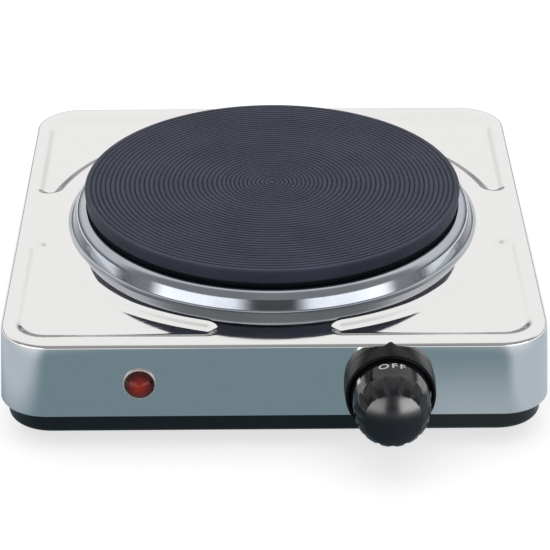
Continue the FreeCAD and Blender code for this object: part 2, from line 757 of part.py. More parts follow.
def add_front(name, *solids):
    add(name, *[placed(solid, KNOB_FRAME) for solid in solids])


def knob_bezel():
    front = BEZEL_R - BEZEL_TAPER
    ring = turned([(BUSH_R + HOLE_GAP, 0), (BEZEL_R, 0), (front, BEZEL_HEIGHT),
                   (front - BEZEL_WALL, BEZEL_HEIGHT), (front - BEZEL_WALL, BEZEL_FLOOR),
                   (BUSH_R + HOLE_GAP, BEZEL_FLOOR)])
    inner = front - BEZEL_WALL / 2
    base = math.sqrt(inner ** 2 - BEZEL_PEAK_HALF ** 2)

    def peak(reach, z):
        corners = [Vector(-BEZEL_PEAK_HALF, base, z), Vector(0, reach, z), Vector(BEZEL_PEAK_HALF, base, z)]
        return Part.makePolygon(corners + corners[:1])

    pointer = Part.makeLoft([peak(BEZEL_R + BEZEL_PEAK, 0), peak(front, BEZEL_HEIGHT)], True, True)
    pointer = pointer.cut(rod(inner, -PAST, BEZEL_HEIGHT + PAST))
    return ring.fuse(pointer).removeSplitter()


def d_bore(radius, side, z0, z1):
    """Round bar with a flat on its upper side."""
    return rod(radius, z0, z1).common(block(-radius, radius, -radius, side, z0, z1))


def flute(turn):
    """Round cutter over the nose: its deep line starts past the grip's edge and leans in to the front."""
    lean = math.radians(FLUTE_LEAN)
    along = Vector(-math.sin(lean), 0, math.cos(lean))
    outward = Vector(math.cos(lean), 0, math.sin(lean))
    start = Vector(GRIP_R, 0, Z_NOSE + FLUTE_LEAD) + outward * FLUTE_R - along * PAST
    reach = (NOSE_LENGTH - FLUTE_LEAD) / math.cos(lean) + 2 * PAST
    cutter = Part.makeCylinder(FLUTE_R, reach, start, along)
    cutter.rotate(Vector(), Vector(0, 0, 1), turn)
    return cutter


def knob():
    """Tapered grip with a bowed, fluted nose and a domed cap, hollow round the boss on the spindle."""
    cap_r = GRIP_R - NOSE_INSET
    dome_r = (cap_r ** 2 + CAP_RISE ** 2) / (2 * CAP_RISE)
    crown = Z_CAP + CAP_RISE - dome_r + math.sqrt(dome_r ** 2 - cap_r ** 2 / 4)
    top = Vector(0, 0, Z_CAP + CAP_RISE)
    edge, rim = Vector(GRIP_R, 0, Z_NOSE), Vector(cap_r, 0, Z_CAP)
    shoulder = (edge + rim) / 2 + Vector(NOSE_LENGTH, 0, NOSE_INSET).normalize() * NOSE_BOW
    sides = Part.makePolygon([top, Vector(0, 0, Z_SKIRT_BACK), Vector(SKIRT_R, 0, Z_SKIRT_BACK),
                              Vector(SKIRT_R, 0, Z_SKIRT_FRONT), edge])
    nose = Part.Arc(edge, shoulder, rim).toShape()
    dome = Part.Arc(rim, Vector(cap_r / 2, 0, crown), top).toShape()
    body = Part.Face(Part.Wire(sides.Edges + [nose, dome])).revolve(Vector(), Vector(0, 0, 1), 360)
    for index in range(FLUTES):
        body = body.cut(flute(360 * index / FLUTES - 90))
    body = body.cut(rod(cap_r - KNOB_WALL / 2, Z_SKIRT_BACK - PAST, Z_CAP - KNOB_WALL))
    body = body.fuse(rod(BOSS_OUTER_R, Z_BOSS, Z_CAP - KNOB_WALL / 2)).removeSplitter()
    return body.cut(d_bore(SPINDLE_R + SPINDLE_GAP, CLIP_SIDE, Z_BOSS - PAST, Z_SPINDLE_TIP + SPINDLE_TIP_GAP))


def spindle():
    shaft = rod(SPINDLE_R, Z_CAM, Z_BOSS).fuse(d_bore(SPINDLE_R, SPINDLE_FLAT, Z_BOSS, Z_SPINDLE_TIP))
    groove = tube(SPINDLE_R + PAST, SPINDLE_R - CIRCLIP_GROOVE, Z_CIRCLIP, Z_CIRCLIP + CIRCLIP_SHEET)
    cams = [rod(CAM_R, Z_CAM_FACE, Z_CAM)]
    sector = CAM_TURN / CAM_STEPS
    for step in range(CAM_STEPS):
        height = CAM_LOW + CAM_RISE * step / CAM_STEPS
        spread = sector + (360 - CAM_TURN if step == 0 else 0)
        lobe = Part.makeCylinder(CAM_R, height, Vector(0, 0, Z_CAM_FACE - height), Vector(0, 0, 1), spread)
        lobe.rotate(Vector(), Vector(0, 0, 1), sector * (step + 1) - spread)
        cams.append(lobe)
    return fuse([shaft.cut(groove)] + cams)


def spindle_bush():
    bush = fuse([rod(BUSH_R, Z_FRAME_BACK, Z_BUSH_FRONT), rod(BUSH_FLANGE_R, Z_BUSH_BACK, Z_FRAME_BACK)])
    return bush.cut(rod(SPINDLE_R + SPINDLE_GAP, Z_BUSH_BACK - PAST, Z_BUSH_FRONT + PAST))


# Levels down the stack, from the frame's back face
Z_LEAF = Z_FRAME_BACK - FIRST_INSULATOR
Z_SWITCH = Z_LEAF - LEAF_SHEET - INSULATOR
Z_BIMETAL = Z_SWITCH - LEAF_SHEET - INSULATOR
Z_LAST = Z_BIMETAL - BIMETAL_SHEET
Z_STACK_END = Z_LAST - LAST_INSULATOR
STACK_X = -STACK_REACH
ROOT_X = STACK_X + INSULATOR_R
LEAF_ROOT_X = ROOT_X + LEAF_ROOT_GAP
CAM_LOW = Z_CAM_FACE - (Z_LEAF + NIB_HEIGHT) - NIB_GAP
CAM_RISE = (NIB_REACH - LEAF_ROOT_X) * math.sin(math.radians(LEAF_TURN))
TAB_END = STACK_X - TAB_LENGTH


def riveted(shape, z0, z1):
    return shape.cut(rod(STACK_RIVET_R + STACK_GAP, z0 - PAST, z1 + PAST, STACK_X))


def thermostat_frame():
    left = STACK_X - INSULATOR_R
    plate = block(left, FRAME_FREE_END, -FRAME_HALF_HEIGHT, FRAME_HALF_HEIGHT, Z_FRAME_BACK, -PANEL)
    plate = plate.cut(rod(BUSH_R + STACK_GAP, Z_FRAME_BACK - PAST, PAST))
    return riveted(plate, Z_FRAME_BACK, -PANEL)


def insulators():
    levels = [(Z_LEAF, Z_FRAME_BACK), (Z_SWITCH, Z_LEAF - LEAF_SHEET),
              (Z_BIMETAL, Z_SWITCH - LEAF_SHEET), (Z_STACK_END, Z_LAST)]
    return [tube(INSULATOR_R, STACK_RIVET_R + STACK_GAP, z0, z1, STACK_X) for z0, z1 in levels]


def tab(z):
    plate = block(TAB_END, ROOT_X, -TAB_HALF_WIDTH, TAB_HALF_WIDTH, z - LEAF_SHEET, z)
    return riveted(plate, z - LEAF_SHEET, z)


def connector(z):
    """Push-on connector over a tab, with a round barrel for the wire."""
    middle = z - LEAF_SHEET / 2
    mouth = TAB_END + CONNECTOR_LAP
    back = mouth - CONNECTOR_LENGTH
    half, thick = CONNECTOR_HALF_WIDTH, CONNECTOR_THICK / 2
    shell = block(back, mouth, -half, half, middle - thick, middle + thick)
    slot_half = TAB_HALF_WIDTH + CONNECTOR_GAP
    slot_thick = LEAF_SHEET / 2 + CONNECTOR_GAP
    shell = shell.cut(block(TAB_END - CONNECTOR_GAP, mouth + PAST, -slot_half, slot_half,
                            middle - slot_thick, middle + slot_thick))
    start = Vector(back - BARREL_LENGTH, 0, middle)
    barrel = Part.makeCylinder(BARREL_R, BARREL_LENGTH, start, Vector(1, 0, 0))
    return fuse([shell, barrel])


def leaf(z):
    return block(LEAF_ROOT_X, LEAF_FREE_END, -LEAF_HALF_WIDTH, LEAF_HALF_WIDTH, z - LEAF_SHEET, z)


add_front("knob_bezel", knob_bezel())
add_front("bush_nut", hexagon(BUSH_NUT_FLATS, BEZEL_FLOOR, Z_NUT_FRONT).cut(
    rod(BUSH_R + STACK_GAP, 0, Z_NUT_FRONT + PAST)))
add_front("spindle_bush", spindle_bush())
add_front("thermostat_frame", thermostat_frame())
add_front("stack_insulators", *insulators())
add_front("stack_rivet", fuse([rod(STACK_RIVET_R, Z_STACK_END, -PANEL, STACK_X),
                               rod(STACK_RIVET_HEAD_R, Z_STACK_END - STACK_RIVET_HEAD, Z_STACK_END, STACK_X)]))
add_front("terminal_tabs", tab(Z_LEAF), tab(Z_SWITCH))
add_front("spade_connectors", connector(Z_LEAF), connector(Z_SWITCH))
add_front("bimetal_root", riveted(block(STACK_X - INSULATOR_R, ROOT_X, -BIMETAL_HALF_WIDTH, BIMETAL_HALF_WIDTH,
                                        Z_LAST, Z_BIMETAL), Z_LAST, Z_BIMETAL))
add_front("contact_leaf", fuse([leaf(Z_LEAF), rod(NIB_R, Z_LEAF, Z_LEAF + NIB_HEIGHT, NIB_REACH)]))
add_front("leaf_contact", rod(CONTACT_R, Z_LEAF - LEAF_SHEET - LEAF_CONTACT, Z_LEAF - LEAF_SHEET, CONTACT_X))
add_front("switch_leaf", leaf(Z_SWITCH))
add_front("switch_contact", rod(CONTACT_R, Z_SWITCH, Z_SWITCH + SWITCH_CONTACT, CONTACT_X))
add_front("blade_link", rod(LINK_R, Z_BIMETAL, Z_SWITCH - LEAF_SHEET, LINK_X))
add_front("bimetal_blade", block(LEAF_ROOT_X, BIMETAL_FREE_END, -BIMETAL_HALF_WIDTH, BIMETAL_HALF_WIDTH,
                                 Z_LAST, Z_BIMETAL))
add_front("spindle", spindle())
add_front("spindle_circlip", tube(CIRCLIP_R, SPINDLE_R - CIRCLIP_GROOVE + SPINDLE_GAP, Z_CIRCLIP,
                                  Z_CIRCLIP + CIRCLIP_SHEET))
add_front("knob", knob())
add_front("knob_clip", block(-CLIP_WIDTH / 2, CLIP_WIDTH / 2, SPINDLE_FLAT + CLIP_GAP,
                             SPINDLE_FLAT + CLIP_GAP + CLIP_SHEET, Z_BOSS, Z_SPINDLE_TIP))

# Pilot lamp, in the panel's frame with z out of the panel
LAMP_FRAME = front_frame(LAMP_X, LAMP_RISE)
Z_LENS = LAMP_BEZEL_FLOOR
Z_LAMP_END = -LAMP_DEPTH
Z_LAMP_INNER = Z_LAMP_END + LAMP_BACK
TUBE_INNER_R = LAMP_TUBE_R - LAMP_TUBE_WALL


def add_lamp(name, *solids):
    add(name, *[placed(solid, LAMP_FRAME) for solid in solids])


def lamp_bezel():
    inner = LENS_R + LAMP_GAP
    outer = inner + LAMP_BEZEL_WALL
    return turned([(LAMP_TUBE_R + LAMP_GAP, 0), (outer, 0), (outer, LAMP_BEZEL_HEIGHT),
                   (inner, LAMP_BEZEL_HEIGHT), (inner, LAMP_BEZEL_FLOOR),
                   (LAMP_TUBE_R + LAMP_GAP, LAMP_BEZEL_FLOOR)])


def lamp_lens():
    dome_r = (LENS_R ** 2 + LENS_DOME ** 2) / (2 * LENS_DOME)
    skirt_r = TUBE_INNER_R - LAMP_GAP
    z_dome = Z_LENS + LENS_FLANGE
    dome = Part.makeSphere(dome_r, Vector(0, 0, z_dome + LENS_DOME - dome_r))
    cap = dome.common(rod(LENS_R, z_dome, z_dome + 2 * LENS_DOME))
    lens = fuse([cap, rod(LENS_R, Z_LENS, z_dome), rod(skirt_r, -LENS_SKIRT, Z_LENS)])
    return lens.cut(rod(skirt_r - LENS_WALL, -LENS_SKIRT - PAST, Z_LENS + LENS_FLANGE / 2))


def lamp_body():
    body = tube(LAMP_TUBE_R, TUBE_INNER_R, Z_LAMP_INNER, Z_LENS)
    return fuse([body, rod(LAMP_TUBE_R, Z_LAMP_END, Z_LAMP_INNER),
                 rod(BULB_BOSS_R, Z_LAMP_INNER, Z_LAMP_INNER + BULB_BOSS)])


def neon_bulb():
    z0 = Z_LAMP_INNER + BULB_BOSS
    tip = z0 + BULB_LENGTH - BULB_R
    return fuse([rod(BULB_R, z0, tip), Part.makeSphere(BULB_R, Vector(0, 0, tip)).common(
        rod(BULB_R, tip, tip + 2 * BULB_R))])


add_lamp("lamp_bezel", lamp_bezel())
add_lamp("lamp_lens", lamp_lens())
add_lamp("lamp_body", lamp_body())
add_lamp("lamp_clip", tube(LAMP_CLIP_R, LAMP_TUBE_R + LAMP_GAP, -PANEL - LAMP_CLIP_SHEET, -PANEL))
add_lamp("neon_bulb", neon_bulb())
add_lamp("lamp_resistor", rod(RESISTOR_R, Z_LAMP_INNER, Z_LAMP_INNER + RESISTOR_LENGTH, 0, -RESISTOR_OFFSET))


# Cord gland: a rubber bush that is pulled into the back wall's hole from outside, wider inside than at its grip
Z_GLAND_NOSE = GLAND_FLANGE + GLAND_NOSE
Z_GLAND_GRIP = Z_GLAND_NOSE - GLAND_GRIP
Z_GLAND_INNER = -PANEL - GLAND_INNER


def cord_gland():
    gland = turned([(GLAND_BORE_R, Z_GLAND_NOSE), (GLAND_NOSE_R, Z_GLAND_NOSE), (GLAND_FLANGE_R, GLAND_FLANGE),
                    (GLAND_FLANGE_R, 0), (GLAND_NECK_R, 0), (GLAND_NECK_R, -PANEL), (GLAND_INNER_R, -PANEL),
                    (GLAND_NECK_R, Z_GLAND_INNER), (GLAND_ENTRY_R, Z_GLAND_INNER),
                    (GLAND_ENTRY_R, Z_GLAND_GRIP), (GLAND_BORE_R, Z_GLAND_GRIP)])
    return placed(gland, rear_frame(GLAND_X, GLAND_RISE))


add("cord_gland", cord_gland())

# Terminal block: a ceramic bar with brass inserts, two clamp screws a pole, screwed to the floor
Z_POLE = Z_FLOOR + BLOCK_HEIGHT / 2
Z_BLOCK = Z_FLOOR + BLOCK_HEIGHT
INSERT_FRONT = BLOCK_Y - BLOCK_DEPTH / 2 + INSERT_SETBACK
INSERT_BACK = BLOCK_Y + BLOCK_DEPTH / 2 - INSERT_SETBACK
CLAMP_YS = [BLOCK_Y - CLAMP_PITCH / 2, BLOCK_Y + CLAMP_PITCH / 2]
CLAMP_PLACES = [(pole_x(i), y) for i in range(POLES) for y in CLAMP_YS]


def along_y(radius, x, y0, y1, z):
    return Part.makeCylinder(radius, y1 - y0, Vector(x, y0, z), Vector(0, 1, 0))


def terminal_block():
    front, back = BLOCK_Y - BLOCK_DEPTH / 2, BLOCK_Y + BLOCK_DEPTH / 2
    body = block(BLOCK_X - BLOCK_HALF, BLOCK_X + BLOCK_HALF, front, back, Z_FLOOR, Z_BLOCK)
    for index in range(POLES):
        body = body.cut(along_y(INSERT_R + INSERT_GAP, pole_x(index), front - PAST, back + PAST, Z_POLE))
    for x, y in CLAMP_PLACES:
        body = body.cut(rod(CLAMP_HEAD_R + INSERT_GAP, Z_POLE, Z_BLOCK + PAST, x, y))
    for x in BLOCK_SCREW_XS:
        body = body.cut(rod(BLOCK_SCREW_R + SCREW_GAP, Z_FLOOR - PAST, Z_BLOCK + PAST, x, BLOCK_Y))
    return body


def terminal_insert(index):
    x = pole_x(index)
    insert = along_y(INSERT_R, x, INSERT_FRONT, INSERT_BACK, Z_POLE)
    insert = insert.cut(along_y(INSERT_BORE_R, x, INSERT_FRONT - PAST, INSERT_BACK + PAST, Z_POLE))
    for y in CLAMP_YS:
        insert = insert.cut(rod(CLAMP_SCREW_R + INSERT_GAP, Z_POLE, Z_BLOCK, x, y))
    return insert


def clamp_screw(x, y):
    z_head = Z_POLE + INSERT_R + INSERT_GAP
    shank = rod(CLAMP_SCREW_R, Z_POLE + INSERT_BORE_R, z_head, x, y)
    return fuse([shank, rod(CLAMP_HEAD_R, z_head, z_head + CLAMP_HEAD, x, y)])


def block_screw(x):
    shank = rod(BLOCK_SCREW_R, Z_BASE, Z_BLOCK, x, BLOCK_Y)
    return fuse([shank, rod(BLOCK_SCREW_HEAD_R, Z_BLOCK, Z_BLOCK + BLOCK_SCREW_HEAD, x, BLOCK_Y)])


add("terminal_block", terminal_block())
add("terminal_inserts", *[terminal_insert(i) for i in range(POLES)])
add("terminal_screws", *[clamp_screw(x, y) for x, y in CLAMP_PLACES])
add("block_screws", *[block_screw(x) for x in BLOCK_SCREW_XS])

# Earth stud welded to the floor, with a ring tag and a nut
Z_TAG = Z_FLOOR + EARTH_TAG_SHEET
EARTH_WIRE_Y = EARTH_Y + EARTH_TAG_REACH


def earth_tag():
    ring = rod(EARTH_TAG_R, Z_FLOOR, Z_TAG, EARTH_X, EARTH_Y)
    neck = block(EARTH_X - BARREL_R, EARTH_X + BARREL_R, EARTH_Y, EARTH_WIRE_Y, Z_FLOOR, Z_TAG)
    barrel = along_y(BARREL_R, EARTH_X, EARTH_WIRE_Y - BARREL_LENGTH, EARTH_WIRE_Y, Z_FLOOR + BARREL_R)
    tag = fuse([ring, neck, barrel])
    return tag.cut(rod(EARTH_STUD_R + SCREW_GAP, Z_FLOOR - PAST, Z_TAG + PAST, EARTH_X, EARTH_Y))


add("earth_stud", rod(EARTH_STUD_R, Z_FLOOR, Z_FLOOR + EARTH_STUD_HEIGHT, EARTH_X, EARTH_Y))
add("earth_tag", earth_tag())
add("earth_nut", hexagon(EARTH_NUT_FLATS, Z_TAG, Z_TAG + EARTH_NUT_HEIGHT, EARTH_X, EARTH_Y).cut(
    rod(EARTH_STUD_R + SCREW_GAP, Z_TAG - PAST, Z_TAG + EARTH_NUT_HEIGHT + PAST, EARTH_X, EARTH_Y)))


# Wiring under the shield: each route starts and ends on the face that it is joined to
def barrel_end(z):
    back = TAB_END + CONNECTOR_LAP - CONNECTOR_LENGTH - BARREL_LENGTH
    return KNOB_FRAME.multVec(Vector(back, 0, z - LEAF_SHEET / 2))


def pin_end(index):
    x, y = PIN_PLACES[index]
    return Vector(x, y, Z_PIN_END)


def pole(index):
    return Vector(pole_x(index), INSERT_FRONT, Z_POLE)


def lamp_terminal(side):
    return LAMP_FRAME.multVec(Vector(side * LAMP_LEAD_OFFSET, 0, Z_LAMP_END))


def lamp_joint():
    side = TAB_END + CONNECTOR_LAP - CONNECTOR_LENGTH / 2
    return KNOB_FRAME.multVec(Vector(side, 0, Z_SWITCH - LEAF_SHEET / 2 - CONNECTOR_THICK / 2))


def inward(frame, length):
    """Step of a length straight into the box from a panel."""
    return frame.Rotation.multVec(Vector(0, 0, -length))


live, switched = barrel_end(Z_LEAF), barrel_end(Z_SWITCH)
lamp_a, lamp_b, joint = lamp_terminal(1), lamp_terminal(-1), lamp_joint()
BACK, LEFT, DOWN = Vector(0, 1, 0), Vector(-1, 0, 0), Vector(0, 0, -1)

add("wire_live", route([live, live + LEFT * 20, Vector(-26, -82, 20), Vector(-6, -40, 17),
                        Vector(20, 16, 17), pole(0) - BACK * 18, pole(0)], WIRE_R))
add("wire_switched", route([switched, switched + LEFT * 13, Vector(-12, -84, 23), Vector(4, -50, 20),
                            pin_end(0) + DOWN * 17, pin_end(0)], WIRE_R))
add("wire_neutral", route([pin_end(1), pin_end(1) + DOWN * 12, Vector(58, 18, 18), Vector(55, 36, 16),
                           pole(2) - BACK * 14, pole(2)], WIRE_R))
add("wire_earth", route([pole(3), pole(3) - BACK * 14, Vector(EARTH_X, EARTH_WIRE_Y + 12, Z_FLOOR + BARREL_R),
                         Vector(EARTH_X, EARTH_WIRE_Y, Z_FLOOR + BARREL_R)], WIRE_R))
add("lamp_lead_switched", route([lamp_a, lamp_a + inward(LAMP_FRAME, 14), Vector(-16, -66, 27),
                                 joint + inward(KNOB_FRAME, 18), joint], LEAD_R))
add("lamp_lead_neutral", route([lamp_b, lamp_b + inward(LAMP_FRAME, 18), Vector(-40, -30, 11),
                                Vector(-18, 14, 9.3), Vector(22, 38, 9.3), pole(1) - BACK * 12,
                                pole(1)], LEAD_R))

# Over the origin along Y: the knob's cap and the gland's nose are the ends of the box
knob_front = KNOB_FRAME.multVec(Vector(0, 0, Z_CAP + CAP_RISE)).y
gland_back = rear_frame(GLAND_X, GLAND_RISE).multVec(Vector(0, -GLAND_NOSE_R, Z_GLAND_NOSE)).y
SHIFT_Y = -(knob_front + gland_back) / 2

os.makedirs("parts", exist_ok=True)
for name, shape in nodes.items():
    shape.translate(Vector(0, SHIFT_Y, 0))
    shape.exportStep("parts/" + name + ".step")
print(len(nodes), "nodes, shift along Y", round(SHIFT_Y, 3))
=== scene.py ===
import json

import bmesh
import bpy
import numpy as np
from mathutils import Matrix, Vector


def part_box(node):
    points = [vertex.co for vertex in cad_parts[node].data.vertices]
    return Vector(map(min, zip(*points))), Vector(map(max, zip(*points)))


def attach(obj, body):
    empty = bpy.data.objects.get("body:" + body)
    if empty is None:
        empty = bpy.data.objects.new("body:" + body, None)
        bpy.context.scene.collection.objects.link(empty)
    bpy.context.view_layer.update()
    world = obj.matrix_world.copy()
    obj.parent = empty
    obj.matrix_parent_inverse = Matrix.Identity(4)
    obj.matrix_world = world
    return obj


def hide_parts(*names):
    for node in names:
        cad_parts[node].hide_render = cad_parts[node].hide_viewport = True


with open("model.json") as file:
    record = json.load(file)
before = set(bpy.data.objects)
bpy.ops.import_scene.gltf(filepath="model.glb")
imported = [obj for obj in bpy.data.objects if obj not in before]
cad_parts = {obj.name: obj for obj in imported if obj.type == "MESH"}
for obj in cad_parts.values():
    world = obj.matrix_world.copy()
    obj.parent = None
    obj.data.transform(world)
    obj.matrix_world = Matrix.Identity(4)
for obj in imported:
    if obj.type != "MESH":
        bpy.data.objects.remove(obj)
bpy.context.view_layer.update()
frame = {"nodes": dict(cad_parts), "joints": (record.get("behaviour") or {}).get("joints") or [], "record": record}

# Base pan
# The tray that closes the box from below. It is pressed from sheet steel, dipped in black stove
# enamel and fired, and the screws of the feet draw it up to pillars inside the housing.
MM = 0.001
# Nearly all values of a noise texture lie between these two.
NOISE_LOW = 0.3
NOISE_HIGH = 0.7


def linear(hex_colour):
    """sRGB hex colour as linear red, green and blue, with an alpha of 1."""
    values = np.array([int(hex_colour[i:i + 2], 16) for i in (1, 3, 5)]) / 255
    values = np.where(values <= 0.04045, values / 12.92, ((values + 0.055) / 1.055) ** 2.4)
    return (*values.tolist(), 1.0)


def feed(node, inputs):
    """Fills a node's inputs by name or number. Each takes a value, an output to link from, or a node to
    link from by its first output in use."""
    for name, value in inputs.items():
        if isinstance(value, bpy.types.Node):
            value = next(output for output in value.outputs if output.enabled)
        if isinstance(value, bpy.types.NodeSocket):
            node.id_data.links.new(value, node.inputs[name])
        else:
            node.inputs[name].default_value = value


def add_node(tree, kind, inputs=None, stops=(), **settings):
    """Adds a node and feeds it. Stops are the positions and colours of a ramp, and settings are the node's
    own properties."""
    node = tree.nodes.new(kind)
    for name, value in settings.items():
        setattr(node, name, value)
    for index, (position, colour) in enumerate(stops):
        node.color_ramp.elements[index].position = position
        node.color_ramp.elements[index].color = linear(colour)
    feed(node, inputs or {})
    return node


def new_finish(name, sockets):
    """Material with one shader, whose sockets are set by name, and the coordinates that its patterns read."""
    material = bpy.data.materials.new(name)
    material.use_nodes = True
    tree = material.node_tree
    shader = tree.nodes["Principled BSDF"]
    feed(shader, sockets)
    return material, tree, shader, add_node(tree, "ShaderNodeTexCoord").outputs["Object"]


def speckled(name, light, dark, patch_mm, grit_mm, dent_mm, rough, **sockets):
    """Finish whose colour drifts between two shades in soft patches, under a grit that dents it and
    makes its gloss uneven. Patches and grit have the sizes given, and rough is the range of roughness."""
    named = {socket.replace("_", " "): value for socket, value in sockets.items()}
    material, tree, shader, place = new_finish(name, named)
    patches = add_node(tree, "ShaderNodeTexNoise", {"Vector": place, "Scale": 1 / (patch_mm * MM)})
    shades = add_node(tree, "ShaderNodeValToRGB", {"Fac": patches},
                      stops=[(NOISE_LOW, dark), (NOISE_HIGH, light)])
    grit = add_node(tree, "ShaderNodeTexNoise", {"Vector": place, "Scale": 1 / (grit_mm * MM)})
    gloss = add_node(tree, "ShaderNodeMapRange", {"Value": grit, "From Min": NOISE_LOW,
                                                  "From Max": NOISE_HIGH, "To Min": rough[0],
                                                  "To Max": rough[1]})
    dents = add_node(tree, "ShaderNodeBump", {"Height": grit, "Distance": dent_mm * MM})
    feed(shader, {"Base Color": shades, "Roughness": gloss, "Normal": dents})
    return material


def dress(finish, *nodes):
    """Gives CAD nodes their finish."""
    for node in nodes:
        frame["nodes"][node].material_slots[0].material = finish


# Fired enamel is glassy and near black, with a slight orange peel that breaks up its reflections.
stove_enamel = speckled("black_stove_enamel", "#12191c", "#0b1012", 30, 2.5, 0.02, (0.16, 0.3))
dress(stove_enamel, "base_pan")

# Feet
# Four feet of moulded rubber. Each hides the head of a screw, which holds the foot, the pan and a
# hexagonal steel pillar together.
FOOT_BORE_R = 2.2
FOOT_POCKET_R = 4.6
FOOT_POCKET = 4.0
FOOT_TAPER = 1.0
FOOT_ROUNDS = [0.2, 0.3, 0.5, 1.2, 0.3, 0.2]
FOOT_COLUMNS = 72
LEVEL = np.eye(3)


def box_mm(node):
    """Lowest and highest corner of a CAD node, in millimetres."""
    return [np.array(corner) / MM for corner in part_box(node)]


def rounded(corners, radii, steps=6):
    """Closed outline with round corners. Both sides of a corner are cut back by radius / tan(half its
    angle), and an arc about the point on the bisector at radius / sin(half its angle) joins them."""
    corners, radii = np.array(corners, float), np.array(radii, float)[:, None]
    back, ahead = np.roll(corners, 1, 0) - corners, np.roll(corners, -1, 0) - corners
    back /= np.linalg.norm(back, axis=1, keepdims=True)
    ahead /= np.linalg.norm(ahead, axis=1, keepdims=True)
    half = np.arccos((back * ahead).sum(1, keepdims=True)) / 2
    bisector = (back + ahead) / np.linalg.norm(back + ahead, axis=1, keepdims=True)
    centre = corners + bisector * radii / np.sin(half)
    first = corners + back * radii / np.tan(half) - centre
    last = corners + ahead * radii / np.tan(half) - centre
    sweep = (np.pi - 2 * half)[:, None]
    share = np.linspace(0, 1, steps)[None, :, None]
    arcs = np.sin((1 - share) * sweep) * first[:, None] + np.sin(share * sweep) * last[:, None]
    return (centre[:, None] + arcs / np.sin(sweep)).reshape(-1, 2)


def turned(profile, columns, origin, axes):
    """Grid of a profile (radius, height) turned about the third axis: each point is the origin plus
    radius * (cos, sin) of the turn along the first two axes plus height along the third."""
    turn = np.linspace(0, 2 * np.pi, columns, endpoint=False)
    radius, height = profile[:, :1], profile[:, 1:] * np.ones(columns)
    local = np.stack([radius * np.cos(turn), radius * np.sin(turn), height], -1)
    return origin + local @ axes


def skin(name, grid, loop=False):
    """Closed mesh over a grid of points [row, column] in millimetres. Four neighbours make a face, the
    columns run round and meet, and so do the rows where the profile is a loop. Points that fall
    together at a pole become one, and the faces are turned outwards."""
    rows, columns = grid.shape[:2]
    index = np.arange(rows * columns).reshape(rows, columns)
    index = np.vstack([index, index[:1]]) if loop else index
    index = np.hstack([index, index[:, :1]])
    faces = np.stack([index[:-1, :-1], index[:-1, 1:], index[1:, 1:], index[1:, :-1]], -1).reshape(-1, 4)
    mesh = bpy.data.meshes.new(name)
    mesh.vertices.add(rows * columns)
    mesh.vertices.foreach_set("co", (grid * MM).ravel())
    mesh.loops.add(faces.size)
    mesh.loops.foreach_set("vertex_index", faces.ravel().astype(np.int32))
    mesh.polygons.add(len(faces))
    mesh.polygons.foreach_set("loop_start", np.arange(0, faces.size, 4, dtype=np.int32))
    mesh.update(calc_edges=True)
    shell = bmesh.new()
    shell.from_mesh(mesh)
    bmesh.ops.remove_doubles(shell, verts=shell.verts, dist=1e-7)
    if shell.calc_volume(signed=True) < 0:
        bmesh.ops.reverse_faces(shell, faces=shell.faces)
    shell.to_mesh(mesh)
    shell.free()
    return mesh


def piece(mesh, finish, body, stands_for=(), crease=35):
    """Puts a mesh into the scene: smooth but for edges sharper than the crease, in its finish, riding on
    its body, and standing for CAD nodes."""
    mesh.shade_smooth()
    mesh.set_sharp_from_angle(angle=np.radians(crease))
    mesh.materials.append(finish)
    made = bpy.data.objects.new(mesh.name, mesh)
    bpy.context.scene.collection.objects.link(made)
    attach(made, body)
    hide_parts(*stands_for)
    return made


# Rubber is matt and charcoal rather than black, with a bloom that greys it in patches.
foot_rubber = speckled("moulded_rubber", "#2b2b2b", "#191a1a", 6, 0.6, 0.03, (0.62, 0.82))
for corner in ("front_left", "front_right", "rear_left", "rear_right"):
    low, high = box_mm("foot_" + corner)
    top_r, height = (high - low)[0] / 2, high[2] - low[2]
    foot_profile = rounded([(FOOT_BORE_R, FOOT_POCKET), (FOOT_POCKET_R, FOOT_POCKET), (FOOT_POCKET_R, 0),
                            (top_r - FOOT_TAPER, 0), (top_r, height), (FOOT_BORE_R, height)], FOOT_ROUNDS)
    foot_place = np.array([*(low + high)[:2] / 2, low[2]])
    foot_grid = turned(foot_profile, FOOT_COLUMNS, foot_place, LEVEL)
    foot_mesh = skin("rubber_foot_" + corner, foot_grid, loop=True)
    piece(foot_mesh, foot_rubber, "chassis", ["foot_" + corner])

# Zinc plate is a pale blue-grey metal with a faint spangle and a soft shine.
zinc_plate = speckled("zinc_plated_steel", "#cfd0cf", "#b2b4b6", 2.5, 0.5, 0.008, (0.26, 0.42), Metallic=1.0)
dress(zinc_plate, "foot_screws", "corner_pillars")

# Terminal block, earth stud and wiring
# A ceramic block on the pan's floor takes the mains and hands it on through brass inserts. The wires
# wear silicone sleeves in the usual colours, and the earth wire ends in a tag on a welded stud.

# Steatite is a warm white ceramic, unglazed, with tiny dark specks in its chalky surface.
steatite = speckled("steatite_ceramic", "#ece6d8", "#d9d1c0", 1.2, 0.3, 0.02, (0.55, 0.75))
# Brass is yellow and half bright, duller where it has been handled.
brass = speckled("rolled_brass", "#d9b45c", "#b48c3e", 3, 0.4, 0.006, (0.24, 0.42), Metallic=1.0)
dress(steatite, "terminal_block")
dress(brass, "terminal_inserts", "terminal_screws", "earth_tag")
dress(zinc_plate, "block_screws", "earth_stud", "earth_nut")
SLEEVES = {"brown": ("#5a3a26", "#452a1a", ["wire_live", "wire_switched", "lamp_lead_switched"]),
           "blue": ("#34609c", "#284d80", ["wire_neutral", "lamp_lead_neutral"]),
           "green": ("#6fa53c", "#558a2c", ["wire_earth"])}
for colour, (light, dark, wires) in SLEEVES.items():
    # Silicone sleeving is satin and a little waxy, and uneven over the braid under its skin.
    sleeve = speckled("silicone_sleeve_" + colour, light, dark, 2, 0.4, 0.02, (0.42, 0.6),
                      Subsurface_Weight=0.05)
    dress(sleeve, *wires)

